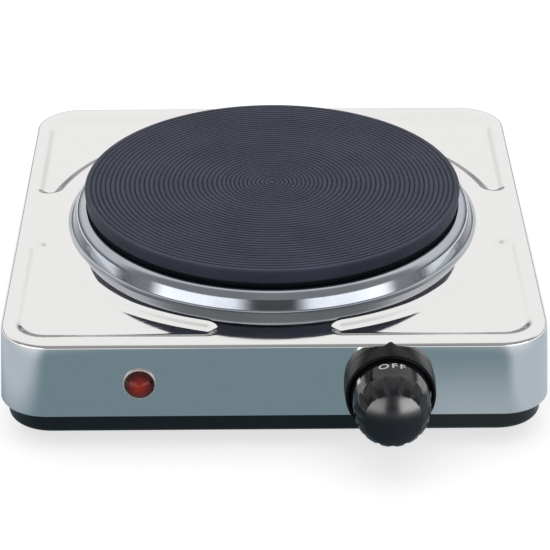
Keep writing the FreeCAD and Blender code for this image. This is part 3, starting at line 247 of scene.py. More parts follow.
# Thermostat
# A stack of spring blades and ceramic rings on one rivet, behind the front panel. A stepped cam on the
# spindle pushes the contact leaf, and the bimetal blade curls away from it as the box warms.
dress(steatite, "stack_insulators", "blade_link")
dress(zinc_plate, "thermostat_frame", "stack_rivet", "bush_nut", "spindle", "spindle_circlip", "knob_clip")
dress(brass, "spindle_bush", "terminal_tabs", "spade_connectors", "contact_leaf", "switch_leaf")
# Contact silver is white and bright, with a tarnish that yellows it in patches.
contact_silver = speckled("contact_silver", "#ece9e2", "#cfc6b4", 0.8, 0.2, 0.004, (0.12, 0.26), Metallic=1.0)
dress(contact_silver, "leaf_contact", "switch_contact")
# Rolled bimetal is straw grey from its heat treatment.
bimetal = speckled("rolled_bimetal", "#bfae93", "#978a78", 5, 0.4, 0.006, (0.3, 0.46), Metallic=1.0)
dress(bimetal, "bimetal_blade", "bimetal_root")

# Bridge and heat shield
# The bridge is a bent steel strip under the housing's top, which the plate's stud pulls against. The
# shield below it is a spun aluminium dish that keeps the heat off the wiring.
dress(zinc_plate, "bridge_bracket", "stud_spacer", "stud_washer", "stud_nut", "centre_stud")
# Mill aluminium is silvery and soft, clouded in patches by the rolls.
mill_aluminium = speckled("mill_aluminium", "#dcdddd", "#c6c8ca", 12, 0.5, 0.01, (0.3, 0.48), Metallic=1.0)
dress(mill_aluminium, "heat_shield")

# Housing
# One shell of stainless sheet, drawn to a box with flared sides, a rolled top edge and a hole with a
# collar for the plate. Four shallow pads are pressed into the corners of its top, and it is polished.
SHEET = 0.6
SKIRT_FLARE = 1.5
CORNER_R = 19.0
TOP_ROLL = 1.5
COLLAR_R = 79.1
COLLAR_DEPTH = 3.0
COLLAR_BEND = 1.2
PAD_GAP = 42.0
PAD_ARC_R = 92.0
PAD_EDGE = 100.5
PAD_CORNER_R = 13.0
PAD_TIP_R = 5.4
PAD_SLOPE = 5.0
PAD_DEPTH = 2.0
BLEND_R = 99.0
HOUSING_COLUMNS = 480
CROWDING = 3
CROWD_REACH = 6
WAY_SAMPLES = 20001
low, high = box_mm("housing")
plate_centre = np.append((low + high)[:2] / 2, 0.0)
top_z = high[2]
skirt_height = high[2] - low[2]
half_sizes = (high - low)[:2] / 2 - SKIRT_FLARE
tilt = np.arctan2(SKIRT_FLARE, skirt_height)


def round_box(samples):
    """Way round a rounded box, from the right side's front end, anticlockwise. Each sample of the way
    gives the shares (-1 to 1) of the corner centres' half sizes, and the outward normal."""
    side_x, side_y = 2 * (half_sizes - CORNER_R)
    turn = CORNER_R * np.pi / 2
    stops = np.cumsum([0, side_y, turn, side_x, turn, side_y, turn, side_x, turn])
    way = samples * stops[-1]
    across = np.interp(way, stops, [1, 1, 1, -1, -1, -1, -1, 1, 1])
    along = np.interp(way, stops, [-1, 1, 1, 1, 1, -1, -1, -1, -1])
    angle = np.radians(np.interp(way, stops, [0, 0, 90, 90, 180, 180, 270, 270, 360]))
    return np.stack([across, along], -1), np.stack([np.cos(angle), np.sin(angle)], -1)


# Columns crowd together beside the ends of the pads, where the pressing turns sharply.
even = np.linspace(0, 1, WAY_SAMPLES)
from_pad_end = np.abs(round_box(even)[0] * (half_sizes - CORNER_R)) - PAD_GAP / 2 - PAD_TIP_R
crowding = np.cumsum(1 + CROWDING * np.exp(-(from_pad_end / CROWD_REACH) ** 2).sum(1))
columns = np.interp(np.linspace(0, crowding[-1], HOUSING_COLUMNS, endpoint=False), crowding, even)
corner_shares, normals = round_box(columns)


def wall(depth, offset):
    """Outlines at depths below the top: the corner centres spread with the flare, and the skin lies out
    along the normal by the corner's radius and an offset."""
    spread = half_sizes - CORNER_R + SKIRT_FLARE * depth[:, None, None] / skirt_height
    level = spread * corner_shares + normals * (CORNER_R + offset[:, None, None])
    return np.concatenate([level, np.broadcast_to(-depth[:, None, None], (*level.shape[:2], 1))], -1)


def within(radius, *distances):
    """Distance inside several edges at once, with a round corner of that radius where two meet."""
    distances = np.stack(distances)
    short = np.maximum(radius - distances, 0)
    return np.maximum(distances.min(0), radius) - np.sqrt((short ** 2).sum(0))


def pressed(level):
    """The top with its pads: from each pad's outline the sheet falls by a smooth step over the slope."""
    x, y = np.abs(level[..., 0]), np.abs(level[..., 1])
    outer = within(PAD_CORNER_R, PAD_EDGE - x, PAD_EDGE - y)
    inside = within(PAD_TIP_R, x - PAD_GAP / 2, y - PAD_GAP / 2, np.hypot(x, y) - PAD_ARC_R, outer)
    step = np.clip(inside / PAD_SLOPE, 0, 1)
    fall = PAD_DEPTH * step ** 2 * (3 - 2 * step)
    return np.concatenate([level, -fall[..., None]], -1)


def shell_side(thin, fine):
    """One side of the shell, in from the sheet's outer face by thin, from the collar's lower edge over
    the top and round the roll to the skirt's lower edge. Fine sets how many rows it takes."""
    roll_at = -TOP_ROLL * (1 - np.sin(tilt)) / np.cos(tilt)
    edge = wall(np.zeros(1), np.array([roll_at]))[0, :, :2]
    outward = edge / np.linalg.norm(edge, axis=1, keepdims=True)
    bend = np.linspace(0, np.pi / 2, 4 + fine)
    bend_r = COLLAR_BEND - thin
    radii = np.concatenate([[COLLAR_R + thin], COLLAR_R + COLLAR_BEND - bend_r * np.cos(bend)])
    drops = np.concatenate([[COLLAR_DEPTH], COLLAR_BEND - bend_r * np.sin(bend)])
    collar = np.concatenate([radii[:, None, None] * outward,
                             np.broadcast_to(-drops[:, None, None], (len(radii), len(outward), 1))], -1)
    rings = np.concatenate([np.linspace(COLLAR_R + COLLAR_BEND, PAD_ARC_R, 3 * fine)[1:],
                            np.linspace(PAD_ARC_R, BLEND_R, 7 * fine)[1:]])[:, None, None]
    share = np.linspace(0, 1, 18 * fine)[1:, None, None]
    top = pressed(np.concatenate([rings * outward, (1 - share) * BLEND_R * outward + share * edge]))
    top[..., 2] -= thin
    slope = np.linspace(np.pi / 2, tilt, 6 + fine)[1:]
    roll_r = TOP_ROLL - thin
    roll_depth = TOP_ROLL - roll_r * np.sin(slope)
    roll = wall(roll_depth, roll_at + roll_r * np.cos(slope) - SKIRT_FLARE * roll_depth / skirt_height)
    skirt_depth = np.linspace(roll_depth[-1], skirt_height, 3 * fine)[1:]
    skirt = wall(skirt_depth, np.full(len(skirt_depth), -thin / np.cos(tilt)))
    return np.concatenate([collar, top, roll, skirt])


shell_grid = np.concatenate([shell_side(0.0, 2), shell_side(SHEET, 1)[::-1]])
housing_mesh = skin("polished_housing", shell_grid + plate_centre + [0, 0, top_z], loop=True)

# Holes for the spindle's bush, the pilot lamp and the cord's gland, cut square to the panels.
BUSH_HOLE_R = 5.2
LAMP_HOLE_R = 5.3
GLAND_HOLE_R = 7.0
LAMP_BEZEL_HEIGHT = 0.9
GRIP_MIDDLE = 3.75
knob_joint = next(joint for joint in frame["joints"] if joint["name"] == "knob_turn")
cord_entry = next(mount for mount in frame["record"]["mounts"] if mount["name"] == "cord_entry")
ACROSS = np.array([1.0, 0.0, 0.0])
front_out = -np.array(knob_joint["axis"])
front_axes = np.array([ACROSS, np.cross(front_out, ACROSS), front_out])
rear_out = np.array(cord_entry["axis"])
rear_axes = np.array([-ACROSS, np.cross(rear_out, -ACROSS), rear_out])
knob_place = np.array(knob_joint["pos_m"]) / MM
lamp_place = sum(box_mm("lamp_bezel")) / 2 - front_out * LAMP_BEZEL_HEIGHT / 2
gland_place = np.array(cord_entry["pos_m"]) / MM - rear_out * GRIP_MIDDLE
CUTTER_REACH = 4.0
CUTTER_COLUMNS = 48
holes = bmesh.new()
for radius, place, axes in ((BUSH_HOLE_R, knob_place, front_axes), (LAMP_HOLE_R, lamp_place, front_axes),
                            (GLAND_HOLE_R, gland_place, rear_axes)):
    drum = np.array([(0, -CUTTER_REACH), (radius, -CUTTER_REACH), (radius, CUTTER_REACH), (0, CUTTER_REACH)])
    drum_mesh = skin("cutter", turned(drum, CUTTER_COLUMNS, place, axes))
    holes.from_mesh(drum_mesh)
    bpy.data.meshes.remove(drum_mesh)
cutter = bpy.data.objects.new("cutter", bpy.data.meshes.new("cutter"))
holes.to_mesh(cutter.data)
holes.free()
blank = bpy.data.objects.new("blank", housing_mesh)
bpy.context.scene.collection.objects.link(blank)
bpy.context.scene.collection.objects.link(cutter)
cut = blank.modifiers.new("holes", "BOOLEAN")
cut.object = cutter
cut.solver = "EXACT"
holed_mesh = bpy.data.meshes.new_from_object(blank.evaluated_get(bpy.context.evaluated_depsgraph_get()))
bpy.data.objects.remove(blank)
bpy.data.objects.remove(cutter)
bpy.data.meshes.remove(housing_mesh)
holed_mesh.name = "polished_housing"

# Stainless, buffed bright: a near mirror with a faint warm tone, hazed in soft patches by the wheel and
# very slightly wavy where the sheet was drawn. The buffing lines run across the box, drawn coarser than
# real ones so that they show.
BUFFING_PITCH = 0.8
BUFFING_STRETCH = 0.04
HAZE_PATCH = 25
WAVE_LENGTH = 45
WAVE_HEIGHT = 0.25
stainless, tree, shader, place = new_finish("buffed_stainless_steel", {"Base Color": linear("#e1e0df"),
                                                                      "Metallic": 1.0})
drawn_out = add_node(tree, "ShaderNodeMapping", {"Vector": place, "Scale": (BUFFING_STRETCH, 1.0, 1.0)})
lines = add_node(tree, "ShaderNodeTexNoise", {"Vector": drawn_out, "Scale": 1 / (BUFFING_PITCH * MM)})
haze = add_node(tree, "ShaderNodeTexNoise", {"Vector": place, "Scale": 1 / (HAZE_PATCH * MM), "Detail": 4.0})
worn = add_node(tree, "ShaderNodeMath", {0: lines, 1: haze}, operation="MULTIPLY")
gloss = add_node(tree, "ShaderNodeMapRange", {"Value": worn, "From Min": 0.15, "From Max": 0.4,
                                              "To Min": 0.04, "To Max": 0.1})
wave = add_node(tree, "ShaderNodeTexNoise", {"Vector": place, "Scale": 1 / (WAVE_LENGTH * MM), "Detail": 0.0})
swell = add_node(tree, "ShaderNodeBump", {"Height": wave, "Distance": WAVE_HEIGHT * MM})
feed(shader, {"Roughness": gloss, "Normal": swell})
piece(holed_mesh, stainless, "chassis", ["housing"], crease=50)

# Trim ring
# A ring of thin stainless that covers the gap between plate and housing. It is rolled to a raised band
# with a rounded shoulder, a steep wall and a narrow lip, and the plate's shoulder clamps its inner edge.
RING_SHEET = 0.5
RING_COLUMNS = 360
RING_WIDTHS = [12.5, 8.7, 7.7, 3.8, 1.4, 0.0]
RING_HEIGHTS = [6.4, 6.4, 7.5, 7.2, 0.0, 0.0]
RING_BENDS = [0.0, 0.8, 0.8, 4.6, 0.8, 0.0]
low, high = box_mm("trim_ring")
ring_r = (high - low)[0] / 2


def rolled_strip(corners, radii, sheet):
    """Closed section of a bent strip: its upper side runs along the rounded corners, and its lower side
    is the same run moved square to itself by the sheet's thickness."""
    steps = 10
    run = rounded(corners, radii, steps)
    run = np.vstack([run[:1], run[steps:-steps], run[-1:]])
    run = run[np.append(True, np.linalg.norm(np.diff(run, axis=0), axis=1) > 1e-6)]
    way = np.gradient(run, axis=0)
    right = np.stack([way[:, 1], -way[:, 0]], -1) / np.linalg.norm(way, axis=1, keepdims=True)
    return np.vstack([run, (run + right * sheet)[::-1]])


ring_run = np.stack([ring_r - np.array(RING_WIDTHS), low[2] + RING_SHEET + np.array(RING_HEIGHTS)], -1)
ring_section = rolled_strip(ring_run, RING_BENDS, RING_SHEET)
# Bright annealed and buffed stainless: almost a mirror, cool, with a fine haze.
bright_steel = speckled("bright_stainless_ring", "#b2b6bc", "#a4a8b0", 20, 1.5, 0.003, (0.09, 0.14),
                        Metallic=1.0)
ring_mesh = skin("bright_trim_ring", turned(ring_section, RING_COLUMNS, plate_centre, LEVEL), loop=True)
piece(ring_mesh, bright_steel, "chassis", ["trim_ring"])

# Hot plate
# Cast iron, its top turned with fine rings, blacked and baked against rust. Underneath is the channel for
# the heating coil, bedded in cement and closed by a sheet cover; the coil's pins leave through beads.
PLATE_COLUMNS = 288
EDGE_DRAFT = 0.4
EDGE_CHAMFER = 0.9
EDGE_HEIGHT = 5.4
NECK_INSET = 3.0
NECK_HEIGHT = 3.0
LOWER_INSET = 2.7
LOWER_HEIGHT = 5.0
COIL_WALL = 4.8
COIL_ROOM = 7.5
BOSS_R = 20.0
STUD_R = 3.05
GROOVE_WIDTH = 0.8
GROOVE_DEPTH = 0.4
CENTRE_FLAT_R = 1.25
CENTRE_FIELD_R = 20.5
CENTRE_PITCH = 1.75
OUTER_PITCH = 2.0
GROOVE_SHADE = 0.35
IRON_PATCH = 18
IRON_GRIT = 0.7
IRON_DENT = 0.05
low, high = box_mm("hot_plate")
plate_r, plate_z = (high - low)[0] / 2, high[2]


def ringed_top(edge_r):
    """The turned face from its middle to its edge: grooves at a fine and then a wider pitch, each a
    hollow half wave of sine across its width."""
    starts = np.append(np.arange(CENTRE_FLAT_R, CENTRE_FIELD_R, CENTRE_PITCH),
                       np.arange(CENTRE_FIELD_R, edge_r - OUTER_PITCH, OUTER_PITCH))
    share = np.array([0, 0.2, 0.5, 0.8, 1])
    radii = starts[:, None] + GROOVE_WIDTH * share
    falls = np.broadcast_to(GROOVE_DEPTH * np.sin(np.pi * share), radii.shape)
    return np.stack([np.append(0, radii), plate_z - np.append(0, falls)], -1)


rim_z = plate_z - EDGE_HEIGHT
seat_z = rim_z - NECK_HEIGHT
cast_z = seat_z - LOWER_HEIGHT
neck_r = plate_r - NECK_INSET
lower_r = neck_r - LOWER_INSET
cavity_r = lower_r - COIL_WALL
bevel = np.linspace(0, np.pi / 2, 6)
rim = np.stack([plate_r - EDGE_CHAMFER * (1 - np.sin(bevel)),
                plate_z - EDGE_CHAMFER * (1 - np.cos(bevel))], -1)
roof_z = cast_z + COIL_ROOM
under = [(plate_r - EDGE_DRAFT, rim_z), (neck_r, rim_z), (neck_r, seat_z), (lower_r, seat_z),
         (lower_r, cast_z), (cavity_r, cast_z), (cavity_r, roof_z), (BOSS_R, roof_z), (BOSS_R, cast_z),
         (STUD_R, cast_z), (STUD_R, roof_z), (0, roof_z)]
plate_profile = np.vstack([ringed_top(plate_r - EDGE_CHAMFER), rim, under])
# Blacked cast iron: matt slate grey with a fine sandy grit. Painted shade darkens the grooves of the rings
# and all below the top face but its edge, so the face shows as rings from any side.
cast_iron, tree, shader, place = new_finish("blacked_cast_iron", {"Specular IOR Level": 0.4})
patches = add_node(tree, "ShaderNodeTexNoise", {"Vector": place, "Scale": 1 / (IRON_PATCH * MM),
                                                "Detail": 5.0})
shades = add_node(tree, "ShaderNodeValToRGB", {"Fac": patches},
                  stops=[(NOISE_LOW, "#2c3140"), (NOISE_HIGH, "#373d4f")])
level = add_node(tree, "ShaderNodeSeparateXYZ", {"Vector": place}).outputs["Z"]
crest = add_node(tree, "ShaderNodeMapRange", {"Value": level, "From Min": (plate_z - GROOVE_DEPTH) * MM,
                                              "From Max": plate_z * MM, "To Min": GROOVE_SHADE})
flattened = add_node(tree, "ShaderNodeMapping", {"Vector": place, "Location": -plate_centre * MM,
                                                 "Scale": (1.0, 1.0, 0.0)})
from_middle = add_node(tree, "ShaderNodeVectorMath", {0: flattened}, operation="LENGTH")
edge_band = add_node(tree, "ShaderNodeMapRange", {"Value": from_middle,
                                                  "From Min": (plate_r - 2 * EDGE_CHAMFER) * MM,
                                                  "From Max": (plate_r - EDGE_CHAMFER) * MM})
# Painted shade: the grooves and the underside are darkened, and the top's edge keeps its full colour.
unshaded = add_node(tree, "ShaderNodeMath", {0: crest, 1: edge_band}, operation="MAXIMUM")
shaded_iron = add_node(tree, "ShaderNodeVectorMath", {0: shades, 1: unshaded}, operation="MULTIPLY")
grit = add_node(tree, "ShaderNodeTexNoise", {"Vector": place, "Scale": 1 / (IRON_GRIT * MM), "Detail": 3.0})
gloss = add_node(tree, "ShaderNodeMapRange", {"Value": grit, "From Min": NOISE_LOW, "From Max": NOISE_HIGH,
                                              "To Min": 0.5, "To Max": 0.68})
grain = add_node(tree, "ShaderNodeBump", {"Height": grit, "Distance": IRON_DENT * MM})
feed(shader, {"Base Color": shaded_iron, "Roughness": gloss, "Normal": grain})
plate_mesh = skin("ringed_hot_plate", turned(plate_profile, PLATE_COLUMNS, plate_centre, LEVEL))
piece(plate_mesh, cast_iron, "chassis", ["hot_plate"], crease=40)
dress(zinc_plate, "plate_cover", "terminal_pins")
dress(steatite, "pin_beads")
# Resistance wire is dark and scaled by its first heating.
scaled_wire = speckled("scaled_resistance_wire", "#6d6762", "#4c4844", 2, 0.3, 0.02, (0.45, 0.65),
                       Metallic=1.0)
dress(scaled_wire, "heating_coil")
# Magnesia cement is dry, pale and sandy.
cement = speckled("magnesia_cement", "#c4beb3", "#a9a297", 4, 0.6, 0.1, (0.8, 0.95))
dress(cement, "coil_cement")

# Knob bezel
# A fixed ring of moulded plastic round the knob, clamped to the panel by the bush's nut. Its outer wall
# rises to a soft bump at the top, which the knob is read against.
BEZEL_R = 17.5
BEZEL_TAPER = 0.4
BEZEL_HEIGHT = 8.0
BEZEL_WALL = 1.4
BEZEL_FLOOR = 1.5
BEZEL_ROUNDS = [0.2, 0.2, 0.6, 0.4, 0.3, 0.2]
BEZEL_COLUMNS = 360
PEAK_HEIGHT = 1.6
PEAK_HALF = 1.7
bezel_front = BEZEL_R - BEZEL_TAPER
bezel_profile = rounded([(BUSH_HOLE_R, 0), (BEZEL_R, 0), (bezel_front, BEZEL_HEIGHT),
                         (bezel_front - BEZEL_WALL, BEZEL_HEIGHT), (bezel_front - BEZEL_WALL, BEZEL_FLOOR),
                         (BUSH_HOLE_R, BEZEL_FLOOR)], BEZEL_ROUNDS)


def peaked(profile, columns):
    """A turned ring whose outer wall is lifted at the top by height * exp(-(x / half) ** 2), fading to
    nothing across the thickness of the wall and towards its front rim."""
    ring = turned(profile, columns, np.zeros(3), LEVEL)
    outer = np.clip((profile[:, :1] - bezel_front + BEZEL_WALL) / BEZEL_WALL, 0, 1)
    rearward = np.clip(1 - profile[:, 1:] / BEZEL_HEIGHT, 0, 1)
    upper = np.where(ring[..., 1] > 0, 1.0, 0.0)
    ring[..., 1] += PEAK_HEIGHT * outer * rearward * upper * np.exp(-(ring[..., 0] / PEAK_HALF) ** 2)
    return ring


# Moulded ABS with a satin spark texture: charcoal black, its sheen broad and soft.
satin_abs = speckled("satin_moulded_abs", "#121417", "#0c0e10", 8, 0.5, 0.01, (0.3, 0.4),
                     Specular_IOR_Level=0.12)
bezel_grid = knob_place + peaked(bezel_profile, BEZEL_COLUMNS) @ front_axes
bezel_mesh = skin("peaked_knob_bezel", bezel_grid, loop=True)
piece(bezel_mesh, satin_abs, "chassis", ["knob_bezel"], crease=45)

# Knob
# Moulded in black phenolic: a smooth tapered grip, a bowed nose with leaning flutes cut over it and a
# domed cap, hollow inside round a boss that pushes on to the spindle. It turns clockwise from OFF.
KNOB_COLUMNS = 360
SKIRT_R = 15.2
SKIRT_BACK = 5.5
SKIRT_FRONT = 8.8
SKIRT_BEVEL = 0.3
NOSE_AT = 17.6
NOSE_LENGTH = 8.8
CAP_AT = NOSE_AT + NOSE_LENGTH
NOSE_INSET = 3.5
NOSE_BOW = 0.9
GRIP_R = 14.5
CAP_RISE = 3.0
FLUTES = 15
FLUTE_R = 1.3
FLUTE_LEAN = np.radians(25.8)
FLUTE_LEAD = 1.1
FLUTE_SOFTNESS = 0.12
KNOB_WALL = 2.3
KNOB_BOSS_R = 5.6
KNOB_BORE_R = 3.05
BOSS_BACK = 6.0
BORE_END = 16.8
GRIP_ROUGHNESS = 0.07
CAP_ROUGHNESS = 0.2
CAP_EDGE = 0.2
SCUFF = 1.2
SCUFF_ROUGHNESS = 0.06
PHENOLIC_PATCH = 5


def grip_radius(height):
    """Radius of the smooth taper."""
    return GRIP_R + (SKIRT_R - GRIP_R) * (NOSE_AT - height) / (NOSE_AT - SKIRT_FRONT)


def knob_profile():
    """Outside from the cap's middle: a round dome, a nose that bows out from the straight line between
    cap and grip as a circle does, the taper and the skirt; then the hollow, the boss and its bore."""
    cap_r = GRIP_R - NOSE_INSET
    dome_r = (cap_r ** 2 + CAP_RISE ** 2) / (2 * CAP_RISE)
    out = np.linspace(0, cap_r, 20)
    dome = np.stack([out, CAP_AT + CAP_RISE - dome_r + np.sqrt(dome_r ** 2 - out ** 2)], -1)
    chord = np.hypot(NOSE_INSET, NOSE_LENGTH)
    nose_r = (chord ** 2 / 4 + NOSE_BOW ** 2) / (2 * NOSE_BOW)
    share = np.linspace(0, 1, 40)[1:]
    bow = np.sqrt(nose_r ** 2 - ((share - 0.5) * chord) ** 2) - nose_r + NOSE_BOW
    nose = np.stack([cap_r + NOSE_INSET * share + bow * NOSE_LENGTH / chord,
                     CAP_AT - NOSE_LENGTH * share + bow * NOSE_INSET / chord], -1)
    height = np.linspace(NOSE_AT, SKIRT_FRONT, 24)[1:]
    taper = np.stack([grip_radius(height), height], -1)
    hollow_r, hollow_z = cap_r - KNOB_WALL / 2, CAP_AT - KNOB_WALL
    inside = [(SKIRT_R, SKIRT_BACK + SKIRT_BEVEL), (SKIRT_R - SKIRT_BEVEL, SKIRT_BACK),
              (hollow_r, SKIRT_BACK), (hollow_r, hollow_z), (KNOB_BOSS_R, hollow_z), (KNOB_BOSS_R, BOSS_BACK),
              (KNOB_BORE_R, BOSS_BACK), (KNOB_BORE_R, BORE_END), (0, BORE_END)]
    return np.vstack([dome, nose, taper, inside]), len(dome) + len(nose) + len(taper)


def fluted(profile, shown, columns):
    """The turned knob with its flutes: beside a flute's middle line the skin is no further out than a
    round groove, whose floor leans in over the nose; the lesser of the two radii is rounded off."""
    knob = turned(profile, columns, np.zeros(3), LEVEL)
    turn = np.linspace(0, 2 * np.pi, columns, endpoint=False) + np.pi / 2
    pitch = 2 * np.pi / FLUTES
    radius, height = profile[:shown, :1], profile[:shown, 1:]
    beside = np.abs(radius * np.sin((turn + pitch / 2) % pitch - pitch / 2))
    floor = GRIP_R - np.tan(FLUTE_LEAN) * (height - NOSE_AT - FLUTE_LEAD)
    off = np.minimum(beside, FLUTE_R)
    groove = floor + (FLUTE_R - np.sqrt(FLUTE_R ** 2 - off ** 2)) / np.cos(FLUTE_LEAN)
    groove = np.where(beside < FLUTE_R, groove, np.inf)
    overlap = np.maximum(FLUTE_SOFTNESS - np.abs(groove - radius), 0) / FLUTE_SOFTNESS
    least = np.minimum(groove, radius) - FLUTE_SOFTNESS * overlap ** 2 / 4
    share = np.where(radius > GRIP_R - NOSE_INSET, least / np.maximum(radius, GRIP_R - NOSE_INSET), 1)
    knob[:shown, :, :2] *= np.minimum(share, 1)[..., None]
    return knob


# Phenolic moulding: jet black, glassy from the polished mould but for the satin cap, with faint scuffs.
phenolic, tree, shader, place = new_finish("black_phenolic", {"Specular IOR Level": 0.3})
patches = add_node(tree, "ShaderNodeTexNoise", {"Vector": place, "Scale": 1 / (PHENOLIC_PATCH * MM)})
shades = add_node(tree, "ShaderNodeValToRGB", {"Fac": patches},
                  stops=[(NOISE_LOW, "#07080a"), (NOISE_HIGH, "#0c0d10")])
from_panel = add_node(tree, "ShaderNodeVectorMath", {0: place, 1: knob_place * MM}, operation="SUBTRACT")
forward = add_node(tree, "ShaderNodeVectorMath", {0: from_panel, 1: front_out}, operation="DOT_PRODUCT")
satin = add_node(tree, "ShaderNodeMapRange", {"Value": forward, "From Min": (CAP_AT - CAP_EDGE) * MM,
                                              "From Max": (CAP_AT + CAP_EDGE) * MM, "To Min": GRIP_ROUGHNESS,
                                              "To Max": CAP_ROUGHNESS})
scuffs = add_node(tree, "ShaderNodeTexNoise", {"Vector": place, "Scale": 1 / (SCUFF * MM), "Detail": 3.0})
gloss = add_node(tree, "ShaderNodeMath", {0: scuffs, 1: SCUFF_ROUGHNESS, 2: satin}, operation="MULTIPLY_ADD")
feed(shader, {"Base Color": shades, "Roughness": gloss})
knob_points, shown = knob_profile()
knob_grid = knob_place + fluted(knob_points, shown, KNOB_COLUMNS) @ front_axes
knob = piece(skin("fluted_knob", knob_grid), phenolic, "knob", ["knob"], crease=40)

# Knob marks
# Thin white characters, pad-printed on the taper behind the flutes: OFF at the top and the settings
# 1 to 5 after it, so that each stands under the bezel's bump as the knob turns clockwise.
MARK_HEIGHT = 3.1
OFF_WIDTH = 10.2
DIGIT_WIDTH = 1.9
MARK_MIDDLE = 11.6
MARK_STEP = np.radians(56)
INK = 0.03
INK_SINK = 0.015
LETTER_SPACING = 1.25
# Printing ink is matt, a little off white, and uneven in patches.
ink = speckled("white_printing_ink", "#f4f4f2", "#dcdcda", 1.0, 0.25, 0.004, (0.5, 0.65))


def printed(text, width, turn):
    """Text as a thin solid wrapped on the taper: its width runs round the knob clockwise, its height
    runs back along the taper, and its thickness stands out of the skin."""
    curve = bpy.data.curves.new("mark", "FONT")
    curve.body = text
    curve.extrude = 0.5
    curve.space_character = LETTER_SPACING
    curve.resolution_u = 4
    flat = bpy.data.objects.new("mark", curve)
    bpy.context.scene.collection.objects.link(flat)
    bpy.context.view_layer.update()
    mesh = bpy.data.meshes.new_from_object(flat.evaluated_get(bpy.context.evaluated_depsgraph_get()))
    bpy.data.objects.remove(flat)
    solid = bmesh.new()
    solid.from_mesh(mesh)
    bmesh.ops.remove_doubles(solid, verts=solid.verts, dist=1e-5)
    bmesh.ops.triangulate(solid, faces=solid.faces)
    bmesh.ops.subdivide_edges(solid, edges=solid.edges, cuts=1, use_grid_fill=True)
    solid.to_mesh(mesh)
    solid.free()
    points = np.empty(len(mesh.vertices) * 3)
    mesh.vertices.foreach_get("co", points)
    points = points.reshape(-1, 3)
    points -= (points.min(0) + points.max(0)) / 2
    points *= np.array([width, MARK_HEIGHT, INK]) / np.ptp(points, axis=0)
    height = MARK_MIDDLE - points[:, 1]
    radius = grip_radius(height) + INK / 2 - INK_SINK + points[:, 2]
    angle = np.pi / 2 + turn - points[:, 0] / grip_radius(MARK_MIDDLE)
    wrapped = np.stack([radius * np.cos(angle), radius * np.sin(angle), height], -1)
    mesh.vertices.foreach_set("co", ((knob_place + wrapped @ front_axes) * MM).ravel())
    return mesh


marks = bmesh.new()
for setting, text in enumerate(("OFF", "1", "2", "3", "4", "5")):
    mark_mesh = printed(text, OFF_WIDTH if setting == 0 else DIGIT_WIDTH, setting * MARK_STEP)
    marks.from_mesh(mark_mesh)
    bpy.data.meshes.remove(mark_mesh)
marks_mesh = bpy.data.meshes.new("knob_marks")
marks.to_mesh(marks_mesh)
marks.free()
piece(marks_mesh, ink, "knob")

# Pilot lamp
# A neon bulb and its resistor in a nylon body, pushed in from the front and held by a spring clip. The
# lens is a red dome with a skirt that snaps into the body, in a thin bright ring on the panel.
LENS_R = 5.6
LENS_SEAT = 0.4
LENS_FLANGE = 0.9
LENS_DOME = 3.1
LENS_WALL = 0.8
LENS_SKIRT = 5.0
LENS_SKIRT_R = 4.65
LAMP_RING_R = 6.25
LAMP_RING_INNER_R = 5.65
LAMP_RING_ROUNDS = [0.1, 0.1, 0.28, 0.28, 0.05, 0.1]
LAMP_COLUMNS = 96
PRISM = 1.5
PRISM_BLUR = 1.2


def dome_arc(radius, base, rise, steps):
    """Round dome from its edge to its middle: a circle through the edge and the crown."""
    ball = (radius ** 2 + rise ** 2) / (2 * rise)
    out = radius * np.cos(np.linspace(0, np.pi / 2, steps))
    return np.stack([out, base + rise - ball + np.sqrt(ball ** 2 - out ** 2)], -1)


lens_base = LENS_SEAT + LENS_FLANGE
bore_r = LENS_SKIRT_R - LENS_WALL
lens_profile = np.vstack([dome_arc(bore_r, lens_base - LENS_WALL, LENS_DOME, 12)[::-1],
                          [(bore_r, -LENS_SKIRT), (LENS_SKIRT_R, -LENS_SKIRT), (LENS_SKIRT_R, LENS_SEAT),
                           (LENS_R, LENS_SEAT)], dome_arc(LENS_R, lens_base, LENS_DOME, 20)])
# Red polycarbonate with painted light and shade: a painted warm glow in the middle, where the bulb's white
# body would shine through, and a painted deep dark red where it is looked through edgewise. Soft prisms
# inside make the change from one to the other ragged.
red_lens, tree, shader, place = new_finish("red_polycarbonate", {"Roughness": 0.2, "Specular IOR Level": 0.3,
                                                                 "Transmission Weight": 0.15})
crown = (lamp_place + front_out * (lens_base + LENS_DOME)) * MM
from_crown = add_node(tree, "ShaderNodeVectorMath", {0: place, 1: crown}, operation="SUBTRACT")
off_crown = add_node(tree, "ShaderNodeVectorMath", {0: from_crown}, operation="LENGTH")
prisms = add_node(tree, "ShaderNodeTexNoise", {"Vector": place, "Scale": 1 / (PRISM * MM), "Detail": 1.0})
ragged = add_node(tree, "ShaderNodeMath", {0: prisms, 1: PRISM_BLUR * MM, 2: off_crown},
                  operation="MULTIPLY_ADD")
share = add_node(tree, "ShaderNodeMapRange", {"Value": ragged, "From Max": (LENS_R + PRISM_BLUR / 2) * MM})
# Painted light and shade: bright red at the crown, dark red towards the edge.
shades = add_node(tree, "ShaderNodeValToRGB", {"Fac": share}, stops=[(0.3, "#c23a26"), (0.95, "#4d1013")])
feed(shader, {"Base Color": shades})
lens_mesh = skin("red_lamp_lens", turned(lens_profile, LAMP_COLUMNS, lamp_place, front_axes))
piece(lens_mesh, red_lens, "chassis", ["lamp_lens"])
ring_profile = rounded([(LAMP_HOLE_R, 0), (LAMP_RING_R, 0), (LAMP_RING_R, LAMP_BEZEL_HEIGHT),
                        (LAMP_RING_INNER_R, LAMP_BEZEL_HEIGHT), (LAMP_RING_INNER_R, LENS_SEAT),
                        (LAMP_HOLE_R, LENS_SEAT)], LAMP_RING_ROUNDS)
lamp_ring_grid = turned(ring_profile, LAMP_COLUMNS, lamp_place, front_axes)
lamp_ring_mesh = skin("bright_lamp_ring", lamp_ring_grid, loop=True)
